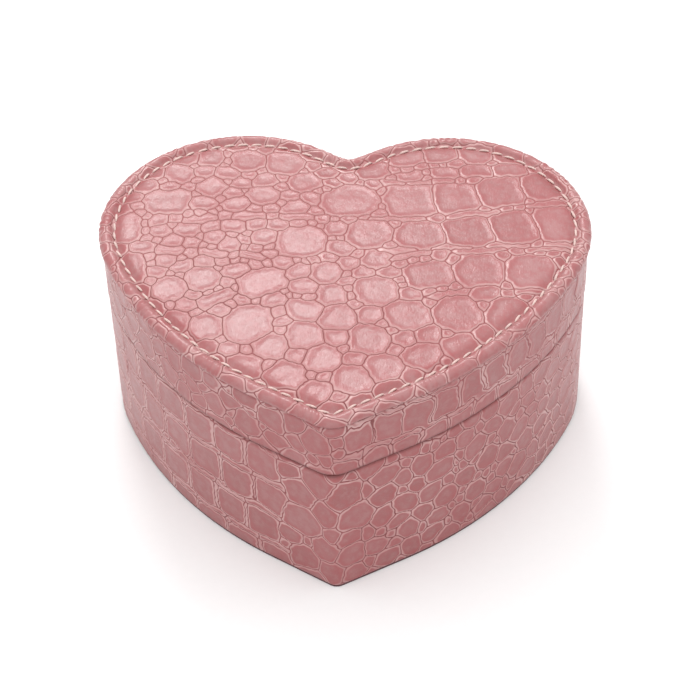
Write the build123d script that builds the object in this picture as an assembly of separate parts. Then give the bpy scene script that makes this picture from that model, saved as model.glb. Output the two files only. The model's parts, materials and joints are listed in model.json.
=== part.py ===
from build123d import *
import os
from math import atan2, cos, degrees, pi, radians, sin

# Heart-shaped musical jewellery box with a hinged lid and an 18-note wind-up movement.
# Units are millimetres. +Z is up, the heart's tip points to -Y and its cleft to +Y.
# The origin is the centre of the footprint's bounding box, on the surface the box stands on.

# ---- Heart outline: lobe arc, long side arc, straight run to the tip, straight flank to the cleft ----
WIDTH = 150.0
LOBE_RADIUS = 43.4
SIDE_RADIUS = 123.0
CLEFT_RADIUS = 4.0
FLANK_ANGLE = radians(122.0)      # where the flank to the cleft leaves the lobe
SIDE_START = radians(-23.4)       # where the side arc takes over from the lobe
SIDE_END = radians(-59.3)         # where the side arc turns into the straight run
LID_TIP_RADIUS = 9.0
BASE_TIP_RADIUS = 5.0
SMALLEST_TIP = 0.8
LOBE_X = WIDTH / 2 - LOBE_RADIUS

# ---- Heights ----
FELT = 0.8
BOARD_Z = 13.0                    # underside of the recessed bottom board
BOARD = 3.0
FLOOR_Z = BOARD_Z + BOARD
SEAM_Z = 48.0
SEAM_GAP = 0.1                    # half of the gap between the two rims
LIP = 0.8                         # leather turned over a rim
TOP_Z = 70.5
TOP_COVER = 3.0
COVER_Z = TOP_Z - TOP_COVER       # underside of the stitched top cover
LID_BOARD = 1.6
CEILING_PAD = 2.0
SEAM_IN = 4.7                     # the stitched seam's inset, in a shallow channel
SEAM_HALF = 0.7
SEAM_DEPTH = 0.76
THREAD_R = 0.35
STITCH = 3.0
STITCH_PITCH = 4.3
CEILING_Z = COVER_Z - LID_BOARD - CEILING_PAD

# ---- Insets from the top cover's outline ----
LID_OUT = 0.7
BASE_OUT = 0.9
LEATHER = 1.0
WALL_IN = 5.0                     # inner face of both board frames
LINING = 0.8
ROOM_IN = WALL_IN + LINING        # inner face of the lining

# ---- Hinges ----
KNUCKLE_R = 1.7
AXIS_OUT = 1.9                    # hinge axis behind the base's leather
HINGE_LENGTH = 16.0
KNUCKLE_CUT = KNUCKLE_R + 0.2
PIN_R = 0.7


def tip_reach(radius):
    """How far the tip lies in front of the lobe centres, for an outline with no inset."""
    side_x = LOBE_X - (SIDE_RADIUS - LOBE_RADIUS) * cos(SIDE_START)
    side_y = -(SIDE_RADIUS - LOBE_RADIUS) * sin(SIDE_START)
    end_x = side_x + SIDE_RADIUS * cos(SIDE_END)
    end_y = side_y + SIDE_RADIUS * sin(SIDE_END)
    along = end_x * cos(SIDE_END) + end_y * sin(SIDE_END)
    return radius - (along - radius) / sin(SIDE_END)


REAR_REACH = LOBE_RADIUS - BASE_OUT + AXIS_OUT + KNUCKLE_R
LOBE_Y = (tip_reach(LID_TIP_RADIUS) - REAR_REACH) / 2
AXIS_Y = LOBE_Y + LOBE_RADIUS - BASE_OUT + AXIS_OUT

# ---- Compartments ----
CARD = 2.0                        # thickness of the partitions
CROSS_Y = LOBE_Y - 25.0           # middle of the partition that runs across
WINDOW_Z = 43.0
WINDOW = 2.0
ROLL_R = 6.0
ROLL_PITCH = 12.6
ROLLS = 4

# ---- Movement: x and y are measured from the winding arbor ----
ARBOR_X = -16.0
ARBOR_Y = LOBE_Y - 2.0
BED = 3.0
BED_Z = FLOOR_Z + BED
AXLE_Z = BED_Z + 8.6              # height of the cylinder and intermediate arbors
RUNNING = 0.05                    # radial clearance of every bearing
CYLINDER_R = 6.5
PIN_TALL = 0.5
NOTES = 18
CYLINDER_X = (-37.0, -17.0)
CROWN_TEETH = 28
CROWN_PINION_TEETH = 12
CROWN_MODULE = 0.9
CROWN_R = CROWN_TEETH * CROWN_MODULE / 2
CROWN_PINION_R = CROWN_PINION_TEETH * CROWN_MODULE / 2
MODULE = 0.5
WHEEL_TEETH = 30
PINION_TEETH = 10
WORM_WHEEL_TEETH = 20
MIDDLE_Y = (WHEEL_TEETH + PINION_TEETH) * MODULE / 2
WORM_R = 1.6
WORM_PITCH = pi * MODULE
WORM_X = -42.8
WORM_Y = MIDDLE_Y + WORM_WHEEL_TEETH * MODULE / 2 + WORM_R
STOP_X = -36.5
STOP_TRAVEL = 2.5
HOUSING_R = 11.0
BOSS_R = 15.9
BOSS_ANGLES = (45, 135, -90)
HOUSING_Z = BED_Z + 4.4


# ---------------------------------------------------------------- shapes used again and again
def heart(inset, tip_radius):
    """Face of the heart, moved inwards by inset. Every arc keeps its centre."""
    lobe_r = LOBE_RADIUS - inset
    side_r = SIDE_RADIUS - inset
    cleft_r = CLEFT_RADIUS + inset
    tip_r = max(tip_radius - inset, SMALLEST_TIP)
    lobe = Vector(LOBE_X, LOBE_Y)
    side = lobe - Vector(cos(SIDE_START), sin(SIDE_START)) * (SIDE_RADIUS - LOBE_RADIUS)

    def at(centre, radius, angle):
        return centre + Vector(cos(angle), sin(angle)) * radius

    flank_start = at(lobe, lobe_r, FLANK_ANGLE)
    flank_out = Vector(cos(FLANK_ANGLE), sin(FLANK_ANGLE))
    cleft = Vector(0, (flank_start.dot(flank_out) + cleft_r) / flank_out.Y)
    run_start = at(side, side_r, SIDE_END)
    run_out = Vector(cos(SIDE_END), sin(SIDE_END))
    tip = Vector(0, (run_start.dot(run_out) - tip_r) / run_out.Y)
    right = [
        ThreePointArc(
            cleft - Vector(0, cleft_r),
            at(cleft, cleft_r, (FLANK_ANGLE - pi - pi / 2) / 2),
            cleft - flank_out * cleft_r,
        ),
        Line(cleft - flank_out * cleft_r, flank_start),
        ThreePointArc(
            flank_start,
            at(lobe, lobe_r, (FLANK_ANGLE + SIDE_START) / 2),
            at(lobe, lobe_r, SIDE_START),
        ),
        ThreePointArc(
            at(side, side_r, SIDE_START),
            at(side, side_r, (SIDE_START + SIDE_END) / 2),
            run_start,
        ),
        Line(run_start, tip + run_out * tip_r),
        ThreePointArc(
            tip + run_out * tip_r,
            at(tip, tip_r, (SIDE_END - pi / 2) / 2),
            tip - Vector(0, tip_r),
        ),
    ]
    left = [edge.mirror(Plane.YZ) for edge in right]
    return Face(Wire(right + left))


def prism(inset, low, high, tip_radius=LID_TIP_RADIUS):
    """Upright heart-shaped block from low to high."""
    return extrude(Pos(0, 0, low) * heart(inset, tip_radius), amount=high - low, dir=(0, 0, 1))


def block(x, y, z):
    """Box between two values on each axis."""
    size = [b - a for a, b in (x, y, z)]
    middle = [(a + b) / 2 for a, b in (x, y, z)]
    return Pos(*middle) * Box(*size)


def rod(x, y, low, high, radius):
    """Upright round bar."""
    return Pos(x, y, (low + high) / 2) * Cylinder(radius, high - low)


def axle(low, high, y, z, radius):
    """Round bar along X."""
    return Pos((low + high) / 2, y, z) * Rot(0, 90, 0) * Cylinder(radius, high - low)


def bar(low, high, y, z, shape):
    """Pushes a flat shape, drawn in local X and Y, along X from low to high, its local X pointing up."""
    plane = Plane(origin=(low, y, z), x_dir=(0, 0, 1), z_dir=(1, 0, 0))
    return extrude(plane * shape, amount=high - low, dir=(1, 0, 0))


def group(parts):
    """Several separate solids in one node."""
    return Compound(children=[Solid(part.solid().wrapped) for part in parts])


def toothed(teeth, module, first):
    """Outline of a gear with straight-sided teeth and play. The tooth at angle first is centred there."""
    pitch_r = teeth * module / 2
    radii = (pitch_r - 1.15 * module, pitch_r + 0.8 * module)
    root_half = 0.27 * pi * module / pitch_r
    tip_half = 0.10 * pi * module / pitch_r
    points = []
    for i in range(teeth):
        middle = first + 2 * pi * i / teeth
        for radius, turn in (
            (radii[0], -root_half),
            (radii[1], -tip_half),
            (radii[1], tip_half),
            (radii[0], root_half),
        ):
            points.append((radius * cos(middle + turn), radius * sin(middle + turn)))
    return make_face(Polyline(*points, close=True))


def in_movement(part):
    """Moves a part drawn about the winding arbor to its place in the box."""
    return Pos(ARBOR_X, ARBOR_Y, 0) * part


# ---------------------------------------------------------------- base
def foot_felt():
    return prism(BASE_OUT + 0.4, 0, FELT, BASE_TIP_RADIUS) - prism(WALL_IN, 0, FELT, BASE_TIP_RADIUS)


def base_frame():
    top = SEAM_Z - SEAM_GAP - LIP
    outside = prism(BASE_OUT + LEATHER, FELT, top, BASE_TIP_RADIUS)
    return outside - prism(WALL_IN, FELT, top, BASE_TIP_RADIUS) - leaf_screws(False)


def base_wrap():
    """Leather round the base, turned over the rim to the lining."""
    top = SEAM_Z - SEAM_GAP
    skin = prism(BASE_OUT, FELT, top, BASE_TIP_RADIUS)
    skin -= prism(BASE_OUT + LEATHER, FELT, top - LIP, BASE_TIP_RADIUS)
    skin -= prism(ROOM_IN, top - LIP, top, BASE_TIP_RADIUS)
    return skin - [mortise(side, top - LIP, top) for side in (-1, 1)]


def bottom_board():
    board = prism(WALL_IN, BOARD_Z, FLOOR_Z, BASE_TIP_RADIUS)
    board -= in_movement(rod(0, 0, BOARD_Z, FLOOR_Z, 4.0))
    holes = [rod(-42 + 5 * i, LOBE_Y + 21 + 5 * j, BOARD_Z, FLOOR_Z, 1.0) for i in range(5) for j in range(3)]
    return board - holes - movement_screws()


def tray_lining():
    """Flocked lining: the wall all round and the floor outside the movement's chamber."""
    top = SEAM_Z - SEAM_GAP - LIP
    wall = prism(WALL_IN, FLOOR_Z, top, BASE_TIP_RADIUS) - prism(ROOM_IN, FLOOR_Z, top, BASE_TIP_RADIUS)
    floor = prism(WALL_IN, FLOOR_Z, FLOOR_Z + LINING, BASE_TIP_RADIUS)
    return wall + (floor - block((-WIDTH, CARD / 2), (CROSS_Y - CARD / 2, WIDTH), (FLOOR_Z, WINDOW_Z)))


def cross_partition():
    wall = block((-WIDTH, WIDTH), (CROSS_Y - CARD / 2, CROSS_Y + CARD / 2), (FLOOR_Z + LINING, WINDOW_Z + WINDOW))
    wall &= prism(ROOM_IN, FLOOR_Z + LINING, WINDOW_Z + WINDOW, BASE_TIP_RADIUS)
    return wall


def centre_partition():
    wall = block((-CARD / 2, CARD / 2), (CROSS_Y + CARD / 2, WIDTH), (FLOOR_Z + LINING, WINDOW_Z + WINDOW))
    return wall & prism(ROOM_IN, FLOOR_Z + LINING, WINDOW_Z + WINDOW, BASE_TIP_RADIUS)


def chamber(inset, low, high):
    """Block that fills the movement's chamber, moved inwards by inset."""
    corner = block((-WIDTH, -CARD / 2 - inset), (CROSS_Y + CARD / 2 + inset, WIDTH), (low, high))
    return corner & prism(ROOM_IN + inset, low, high, BASE_TIP_RADIUS)


def window_ledge():
    return chamber(0, WINDOW_Z - 3, WINDOW_Z) - chamber(2.6, WINDOW_Z - 3, WINDOW_Z) - window_screws()


def window_screws():
    places = ((-2.4, LOBE_Y + 22.0), (-2.4, CROSS_Y + 2.4), (-67.4, LOBE_Y - 4.0))
    return [
        rod(x, y, WINDOW_Z - 2.5, WINDOW_Z + WINDOW, 0.6) + rod(x, y, WINDOW_Z + WINDOW, WINDOW_Z + WINDOW + 0.7, 1.2)
        for x, y in places
    ]


def movement_window():
    """Clear cover over the movement, with a slot for the stop rod and a finger to lift it by."""
    plate = chamber(0.2, WINDOW_Z, WINDOW_Z + WINDOW)
    low, high = WINDOW_Z, WINDOW_Z + WINDOW
    slot = block((STOP_X, STOP_X + 8.5), (WORM_Y - 2.5, WORM_Y + 2.5), (low, high))
    slot += rod(STOP_X, WORM_Y, low, high, 2.5) + rod(STOP_X + 8.5, WORM_Y, low, high, 2.5)
    return plate - in_movement(slot) - window_screws()


def ring_roll(i):
    """Foam roll for rings. Its length follows the lobe."""
    y = CROSS_Y + CARD / 2 + ROLL_R + 0.3 + ROLL_PITCH * i
    z = FLOOR_Z + LINING + ROLL_R
    roll = axle(-WIDTH, WIDTH, y, z, ROLL_R) & block((CARD / 2 + 0.6, WIDTH), (-WIDTH, WIDTH), (0, SEAM_Z))
    return roll & prism(ROOM_IN + 0.6, FLOOR_Z, SEAM_Z, BASE_TIP_RADIUS)


# ---------------------------------------------------------------- lid
def lid_frame():
    low = SEAM_Z + SEAM_GAP + LIP
    return prism(LID_OUT + LEATHER, low, COVER_Z - LID_BOARD) - prism(WALL_IN, low, COVER_Z - LID_BOARD) - leaf_screws(True)


def lid_skirt_wrap():
    low = SEAM_Z + SEAM_GAP
    skin = prism(LID_OUT, low, COVER_Z) - prism(LID_OUT + LEATHER, low + LIP, COVER_Z)
    skin -= prism(ROOM_IN, low, low + LIP)
    return skin - [mortise(side, low, low + LIP) for side in (-1, 1)]


def lid_board():
    return prism(LID_OUT + LEATHER, COVER_Z - LID_BOARD, COVER_Z)


def top_foam():
    return prism(2.0, COVER_Z, TOP_Z - LEATHER)


def lid_top_cover():
    """Stitched leather cap over the foam."""
    cap = prism(0, COVER_Z, TOP_Z)
    cap = fillet(cap.edges().group_by(Axis.Z)[-1], 1.4)
    low = TOP_Z - SEAM_DEPTH
    cap -= prism(SEAM_IN - SEAM_HALF, low, TOP_Z) - prism(SEAM_IN + SEAM_HALF, low, TOP_Z)
    return cap - top_foam()


def seam_stitches():
    """Stitches in the sunk seam round the top cover, each a short round bar."""
    seam = heart(SEAM_IN, LID_TIP_RADIUS).outer_wire()
    count = round(seam.length / STITCH_PITCH)
    stitches = []
    for i in range(count):
        place, ahead = seam @ ((i + 0.5) / count), seam % ((i + 0.5) / count)
        turn = degrees(atan2(ahead.Y, ahead.X))
        stitch = Pos(place.X, place.Y, TOP_Z - 0.38) * Rot(0, 0, turn) * Rot(0, 90, 0)
        stitches.append(stitch * Cylinder(THREAD_R, STITCH))
    return stitches


def lid_lining():
    low = SEAM_Z + SEAM_GAP + LIP
    return prism(WALL_IN, low, COVER_Z - LID_BOARD) - prism(ROOM_IN, low, CEILING_Z)


MIRROR_IN = 21.0
MIRROR = 1.8
MIRROR_TRIM = 1.2


def mirror():
    return prism(MIRROR_IN, CEILING_Z - MIRROR, CEILING_Z)


def mirror_trim():
    low = CEILING_Z - MIRROR - 0.3
    return prism(MIRROR_IN - MIRROR_TRIM, low, CEILING_Z) - prism(MIRROR_IN, low, CEILING_Z)


# ---------------------------------------------------------------- hinges
LEAF_DEPTH = AXIS_OUT + WALL_IN - BASE_OUT - 0.4
SCREW_BACK = LEAF_DEPTH - 1.6
SCREW_SIDE = 5.0


def mortise(side, low, high):
    """Space that a leaf takes out of a rim."""
    gap = 0.1
    half = HINGE_LENGTH / 2 + gap
    return block(
        (side * LOBE_X - half, side * LOBE_X + half),
        (AXIS_Y - LEAF_DEPTH - gap, AXIS_Y),
        (low, high),
    )


def leaf_screws(upper):
    """Two countersunk screws for each leaf of one side of the seam."""
    outward = 1 if upper else -1
    face = SEAM_Z + outward * SEAM_GAP
    screws = []
    for side in (-1, 1):
        for step in (-1, 1):
            x, y = side * LOBE_X + step * SCREW_SIDE, AXIS_Y - SCREW_BACK
            head = rod(x, y, *sorted((face, face + outward * 0.4)), 1.2)
            screws.append(head + rod(x, y, *sorted((face, face + outward * 6.0)), 0.6))
    return screws


def hinge_leaf(side, upper):
    """Leaf with its knuckles: the lid's has the middle one, the base's the outer two."""
    outward = 1 if upper else -1
    face = SEAM_Z + outward * SEAM_GAP
    low, high = sorted((face, face + outward * LIP))
    centre, half, third = side * LOBE_X, HINGE_LENGTH / 2, HINGE_LENGTH / 6
    plate = block((centre - half, centre + half), (AXIS_Y - LEAF_DEPTH, AXIS_Y), (low, high))
    middle = axle(centre - third, centre + third, AXIS_Y, SEAM_Z, KNUCKLE_R)
    whole = axle(centre - half, centre + half, AXIS_Y, SEAM_Z, KNUCKLE_R)
    gap = 0.1
    clear_middle = axle(centre - third - gap, centre + third + gap, AXIS_Y, SEAM_Z, KNUCKLE_CUT)
    clear_whole = axle(centre - half - 1, centre + half + 1, AXIS_Y, SEAM_Z, KNUCKLE_CUT)
    if upper:
        leaf = plate - (clear_whole - axle(centre - third, centre + third, AXIS_Y, SEAM_Z, KNUCKLE_CUT)) + middle
    else:
        leaf = plate - clear_middle + (whole - clear_middle)
    leaf -= axle(centre - half, centre + half, AXIS_Y, SEAM_Z, PIN_R + (RUNNING if upper else 0))
    return leaf - leaf_screws(upper)


def hinge_pin(side):
    centre, half = side * LOBE_X, HINGE_LENGTH / 2
    pin = axle(centre - half - 0.4, centre + half + 0.4, AXIS_Y, SEAM_Z, PIN_R)
    for end in (-1, 1):
        x = centre + end * (half + 0.4)
        pin += axle(x - 0.4, x + 0.4, AXIS_Y, SEAM_Z, PIN_R + 0.35)
    return pin


# ---------------------------------------------------------------- movement, standing pieces
def movement_screws():
    """Four screws up through the bottom board into the bedplate."""
    places = ((-34, 15.5), (9.5, 15.5), (9.5, -18), (-33, -11))
    return [
        in_movement(rod(x, y, BOARD_Z - 1.0, BOARD_Z, 2.4) + rod(x, y, BOARD_Z, BED_Z - 0.6, 1.2))
        for x, y in places
    ]


def comb_screw_places():
    return ((-22.0, -18.4), (-32.0, -18.4))


def housing_screws():
    screws = []
    for angle in BOSS_ANGLES:
        x, y = BOSS_R * cos(radians(angle)), BOSS_R * sin(radians(angle))
        head = rod(x, y, HOUSING_Z + 1.8, HOUSING_Z + 2.8, 1.6)
        screws.append(in_movement(head + rod(x, y, BED_Z + 1, HOUSING_Z + 1.8, 0.8)))
    return screws


def bedplate():
    """Cast bed with the comb rail, one cylinder bearing and the bosses of the spring housing."""
    outline = make_face(
        Polyline((-46, 19), (12.5, 19), (12.5, -21), (-38, -21), (-46, -8), close=True)
    )
    bed = extrude(Pos(0, 0, FLOOR_Z) * outline, amount=BED, dir=(0, 0, 1))
    bed += block((-37.2, -16.8), (-21, -16.6), (BED_Z, AXLE_Z - 0.6))
    bed += block((-16.3, -14.8), (-4, 4), (BED_Z, AXLE_Z + 3.4))
    for angle in BOSS_ANGLES:
        bed += rod(BOSS_R * cos(radians(angle)), BOSS_R * sin(radians(angle)), BED_Z, HOUSING_Z + 0.6, 2.0)
    bed += rod(STOP_X, WORM_Y, BED_Z, BED_Z + 12, 2.0) - rod(STOP_X, WORM_Y, BED_Z, BED_Z + 12, 1.0 + RUNNING)
    bed -= rod(0, 0, FLOOR_Z, BED_Z, 2.0 + RUNNING)
    bed -= axle(-16.3, -14.8, 0, AXLE_Z, 1.0 + RUNNING)
    bed -= rod(WORM_X, WORM_Y, BED_Z - 1.5, BED_Z, 0.5 + RUNNING)
    bed = in_movement(bed) - movement_screws() - housing_screws() - comb_screws() - governor_screws()
    return bed


def comb_screws():
    return [
        in_movement(rod(x, y, AXLE_Z + 0.4, AXLE_Z + 1.6, 1.9) + rod(x, y, BED_Z + 1, AXLE_Z + 0.4, 1.1))
        for x, y in comb_screw_places()
    ]


def comb():
    """Steel comb: eighteen tongues, longest at the bass end."""
    low, high = CYLINDER_X
    pitch = (high - low) / NOTES
    tip_y = -(CYLINDER_R + PIN_TALL + 0.12)
    plate = block((low, high), (-20.6, tip_y), (AXLE_Z - 0.6, AXLE_Z + 0.4))
    slots = []
    for i in range(1, NOTES):
        x = low + pitch * i
        root_y = -16.0 + 3.0 * i / NOTES
        slots.append(block((x - 0.15, x + 0.15), (root_y, tip_y), (AXLE_Z - 1, AXLE_Z + 1)))
    return in_movement(plate - slots) - comb_screws()


def spring_housing():
    """Drum over the mainspring, with three ears."""
    high = HOUSING_Z + 12.8
    drum = rod(0, 0, HOUSING_Z, high, HOUSING_R)
    for angle in BOSS_ANGLES:
        ear = block((HOUSING_R - 1, BOSS_R), (-2, 2), (HOUSING_Z + 0.6, HOUSING_Z + 1.8))
        ear += rod(BOSS_R, 0, HOUSING_Z + 0.6, HOUSING_Z + 1.8, 2.0)
        drum += Rot(0, 0, angle) * ear
    drum -= rod(0, 0, HOUSING_Z + 0.6, high - 0.8, HOUSING_R - 0.7)
    drum -= rod(0, 0, HOUSING_Z, HOUSING_Z + 0.6, 3.3)
    drum -= rod(0, 0, high - 0.8, high, 1.5 + RUNNING)
    return in_movement(drum) - housing_screws()


def mainspring():
    """Flat coil made of half turns about two centres."""
    step, thick, half_turns = 0.52, 0.3, 12
    first_r = 3.2
    outer, inner = [], []
    for i in range(half_turns):
        centre = 0 if i % 2 == 0 else step
        radius = first_r + step * i
        way = 1 if i % 2 == 0 else -1
        for edges, r in ((outer, radius + thick), (inner, radius)):
            edges.append(
                ThreePointArc((centre + way * r, 0), (centre, way * r), (centre - way * r, 0))
            )
    start = Line(inner[0] @ 0, outer[0] @ 0)
    end = Line(inner[-1] @ 1, outer[-1] @ 1)
    strip = Face(Wire(outer + inner + [start, end]))
    low = HOUSING_Z + 1.2
    return in_movement(extrude(Pos(0, 0, low) * strip, amount=9.6, dir=(0, 0, 1)))


def governor_screws():
    return [
        in_movement(rod(-40.5 + step, y, BED_Z - 2, BED_Z + 1.0, 0.8) + rod(-40.5 + step, y, BED_Z + 1, BED_Z + 2, 1.4))
        for step, y in ((-2.9, -2.0), (3.0, 13.2))
    ]


def governor_bracket():
    """Bearing plate for both arbors, with a foot and the arm that holds the worm's upper pivot."""
    plate = block((-41.3, -39.8), (-4, 13), (BED_Z, AXLE_Z + 5.4))
    plate += block((-45.3, -41.3), (-4, -0.2), (BED_Z, BED_Z + 1))
    plate += block((-39.8, -35.8), (11.4, 14.4), (BED_Z, BED_Z + 1))
    plate += block((-41.3, -39.8), (8.5, 11), (AXLE_Z + 5.4, AXLE_Z + 12.8))
    arm = block((-1.1, 1.1), (0, 7.4), (AXLE_Z + 11.8, AXLE_Z + 12.8))
    plate += Pos(-40.55, 9.6, 0) * Rot(0, 0, 17.5) * arm
    plate += rod(WORM_X, WORM_Y, AXLE_Z + 11.8, AXLE_Z + 12.8, 1.4)
    plate -= rod(WORM_X, WORM_Y, AXLE_Z + 11.8, AXLE_Z + 12.4, 0.5 + RUNNING)
    plate -= axle(-41.3, -39.8, 0, AXLE_Z, 1.0 + RUNNING)
    plate -= axle(-41.3, -39.8, MIDDLE_Y, AXLE_Z, 0.8 + RUNNING)
    return in_movement(plate) - governor_screws() - in_movement(rod(STOP_X, WORM_Y, BED_Z, BED_Z + 2, 2.0))


def end_plate():
    """Outer bearing of the intermediate arbor."""
    plate = block((-45.6, -44.4), (6.5, 13.5), (BED_Z, AXLE_Z + 3))
    return in_movement(plate - axle(-45.6, -44.4, MIDDLE_Y, AXLE_Z, 0.6 + RUNNING))


def stop_rod_spring():
    """Coil under the stop rod, drawn as closed turns."""
    turns = [in_movement(Pos(STOP_X, WORM_Y, BED_Z + 0.3 + 0.9 * i) * Torus(0.68, 0.18)) for i in range(6)]
    return turns


# ---------------------------------------------------------------- movement, turning pieces
def winding_arbor():
    bars = (
        (5.0, 12.0, 1.9),
        (12.0, BED_Z + 3.2, 2.0),
        (BED_Z + 3.6, HOUSING_Z + 11.4, 2.8),
        (HOUSING_Z + 11.4, HOUSING_Z + 13.4, 1.5),
        (BED_Z + 3.2, BED_Z + 3.6, 2.0),
    )
    arbor = rod(0, 0, *bars[0])
    for low, high, radius in bars[1:]:
        arbor += rod(0, 0, low, high, radius)
    return in_movement(arbor)


def winding_key():
    """Wing key with a threaded hub."""
    wing_r, wing_x, wing_z = 5.0, 6.2, 7.0
    key = rod(0, 0, 2.6, 12.0, 3.2)
    for side in (-1, 1):
        disc = Pos(side * wing_x, 0, wing_z) * Rot(90, 0, 0) * Cylinder(wing_r, 1.6)
        hole = Pos(side * (wing_x + 0.8), 0, wing_z) * Rot(90, 0, 0) * Cylinder(1.9, 1.6)
        key += disc - hole
    return in_movement(key - rod(0, 0, 5.0, 12.0, 1.9))


def drive_gear():
    """Crown gear under the spring housing: flat disc with teeth standing up at its rim."""
    low, top = BED_Z + 0.4, AXLE_Z - CROWN_PINION_R
    gear = rod(0, 0, low, low + 1.8, CROWN_R + 1.1)
    thick, rise = 0.36 * pi * CROWN_MODULE, 0.7
    tooth = make_face(
        Polyline(
            (-thick * 0.68, low + 1.7 - top),
            (-thick * 0.24, rise),
            (thick * 0.24, rise),
            (thick * 0.68, low + 1.7 - top),
            close=True,
        )
    )
    plane = Plane(origin=(CROWN_R - 1.0, 0, top), x_dir=(0, 1, 0), z_dir=(1, 0, 0))
    standing = extrude(plane * tooth, amount=2.0, dir=(1, 0, 0))
    gear += [Rot(0, 0, 180 + 360 * i / CROWN_TEETH) * standing for i in range(CROWN_TEETH)]
    gear -= rod(0, 0, low, low + 1.8, 2.0 + RUNNING)
    for i in range(4):
        spoke = Rot(0, 0, 45 + 90 * i) * Pos(7, 0, 0)
        gear -= spoke * rod(0, 0, low, low + 1.8, 2.4)
    return in_movement(gear)


def clutch_spring():
    return [in_movement(Pos(0, 0, BED_Z + 2.6 + 0.62 * i) * Torus(2.7, 0.3)) for i in range(2)]


def cylinder_pins():
    """Tune: a few pins on each of the eighteen tracks, set by a simple repeating rule."""
    low, high = CYLINDER_X
    pitch = (high - low) / NOTES
    pins = []
    for track in range(NOTES):
        for beat in range(4):
            angle = 360 * ((track * 5 + beat * 13 + track * track) % 36) / 36 + 5
            pin = Pos(low + pitch * (track + 0.5), 0, AXLE_Z) * Rot(angle, 0, 0)
            pins.append(pin * Pos(0, 0, CYLINDER_R + PIN_TALL / 2 - 0.2) * Cylinder(0.17, PIN_TALL + 0.4))
    return pins


def music_cylinder():
    low, high = CYLINDER_X
    drum = axle(low, high, 0, AXLE_Z, CYLINDER_R) - axle(low, high, 0, AXLE_Z, 1.0)
    return in_movement(drum + cylinder_pins())


def cylinder_arbor():
    return in_movement(axle(-41.9, -11.2, 0, AXLE_Z, 1.0))


def cylinder_pinion():
    """Meshes with the crown gear; a gap between teeth points down."""
    shape = toothed(CROWN_PINION_TEETH, CROWN_MODULE, pi + pi / CROWN_PINION_TEETH)
    return in_movement(bar(-13.6, -11.6, 0, AXLE_Z, shape) - axle(-13.6, -11.6, 0, AXLE_Z, 1.0))


def cylinder_wheel():
    """Large wheel at the bass end; a tooth points at the intermediate pinion."""
    shape = toothed(WHEEL_TEETH, MODULE, -pi / 2)
    return in_movement(bar(-39.1, -37.6, 0, AXLE_Z, shape) - axle(-39.1, -37.6, 0, AXLE_Z, 1.0))


def middle_arbor():
    arbor = axle(-44.2, -37.6, MIDDLE_Y, AXLE_Z, 0.8) + axle(-45.6, -44.2, MIDDLE_Y, AXLE_Z, 0.6)
    return in_movement(arbor)


def middle_pinion():
    """A gap points at the large wheel."""
    shape = toothed(PINION_TEETH, MODULE, pi / 2 + pi / PINION_TEETH)
    return in_movement(bar(-39.1, -37.6, MIDDLE_Y, AXLE_Z, shape) - axle(-39.1, -37.6, MIDDLE_Y, AXLE_Z, 0.8))


def worm_wheel():
    """A gap points at the worm."""
    shape = toothed(WORM_WHEEL_TEETH, MODULE, -pi / 2 + pi / WORM_WHEEL_TEETH)
    low, high = WORM_X - 0.6, WORM_X + 0.6
    return in_movement(bar(low, high, MIDDLE_Y, AXLE_Z, shape) - axle(low, high, MIDDLE_Y, AXLE_Z, 0.8))


def worm_shaft():
    """Steel shaft with a single-start right-hand thread that faces the worm wheel at its height."""
    shaft = rod(0, 0, BED_Z + 0.2, AXLE_Z + 11.6, 0.8)
    shaft += rod(0, 0, BED_Z - 1.3, BED_Z + 0.2, 0.5) + rod(0, 0, AXLE_Z + 11.6, AXLE_Z + 12.2, 0.5)
    shaft += rod(0, 0, AXLE_Z - 3.4, AXLE_Z + 3.4, WORM_R - 0.5)
    turns = 3.5
    path = Helix(pitch=WORM_PITCH, height=WORM_PITCH * turns, radius=WORM_R - 0.55)
    section = Plane(origin=path @ 0, x_dir=(1, 0, 0), z_dir=path % 0) * make_face(
        Polyline((0, -0.42), (0.95, -0.17), (0.95, 0.17), (0, 0.42), close=True)
    )
    thread = sweep(section, path=path, is_frenet=True)
    thread = Pos(0, 0, AXLE_Z - WORM_PITCH * 1.75) * thread
    return in_movement(Pos(WORM_X, WORM_Y, 0) * (shaft + thread))


def governor_fan():
    """Air brake: a hub with two wings and a small braking disc."""
    low, high = AXLE_Z + 6.0, AXLE_Z + 11.0
    fan = rod(0, 0, low, high, 1.4) + block((-4.4, 4.4), (-0.25, 0.25), (low, high - 0.6))
    fan += rod(0, 0, high - 0.4, high, 2.9)
    fan -= rod(0, 0, low, high, 0.8)
    return in_movement(Pos(WORM_X, WORM_Y, 0) * Rot(0, 0, 35) * fan)


def stop_rod():
    """Spring-loaded rod that the closed lid holds down, with the finger that brakes the fan."""
    low, finger_x, finger_z = BED_Z + 5.0, WORM_X + 2.4, AXLE_Z + 11.1
    stop = rod(STOP_X, WORM_Y, low, CEILING_Z - 0.6, 1.0)
    stop += block((finger_x - 0.4, STOP_X), (WORM_Y - 0.4, WORM_Y + 0.4), (finger_z + 0.8, finger_z + 1.6))
    stop += rod(finger_x, WORM_Y, finger_z, finger_z + 1.6, 0.45)
    return in_movement(stop)


def stop_rod_tip():
    cap = rod(STOP_X, WORM_Y, CEILING_Z - 2.4, CEILING_Z - 0.1, 1.7)
    cap = fillet(cap.edges().group_by(Axis.Z)[-1], 0.6)
    return in_movement(cap - rod(STOP_X, WORM_Y, CEILING_Z - 2.4, CEILING_Z - 0.6, 1.0))


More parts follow.
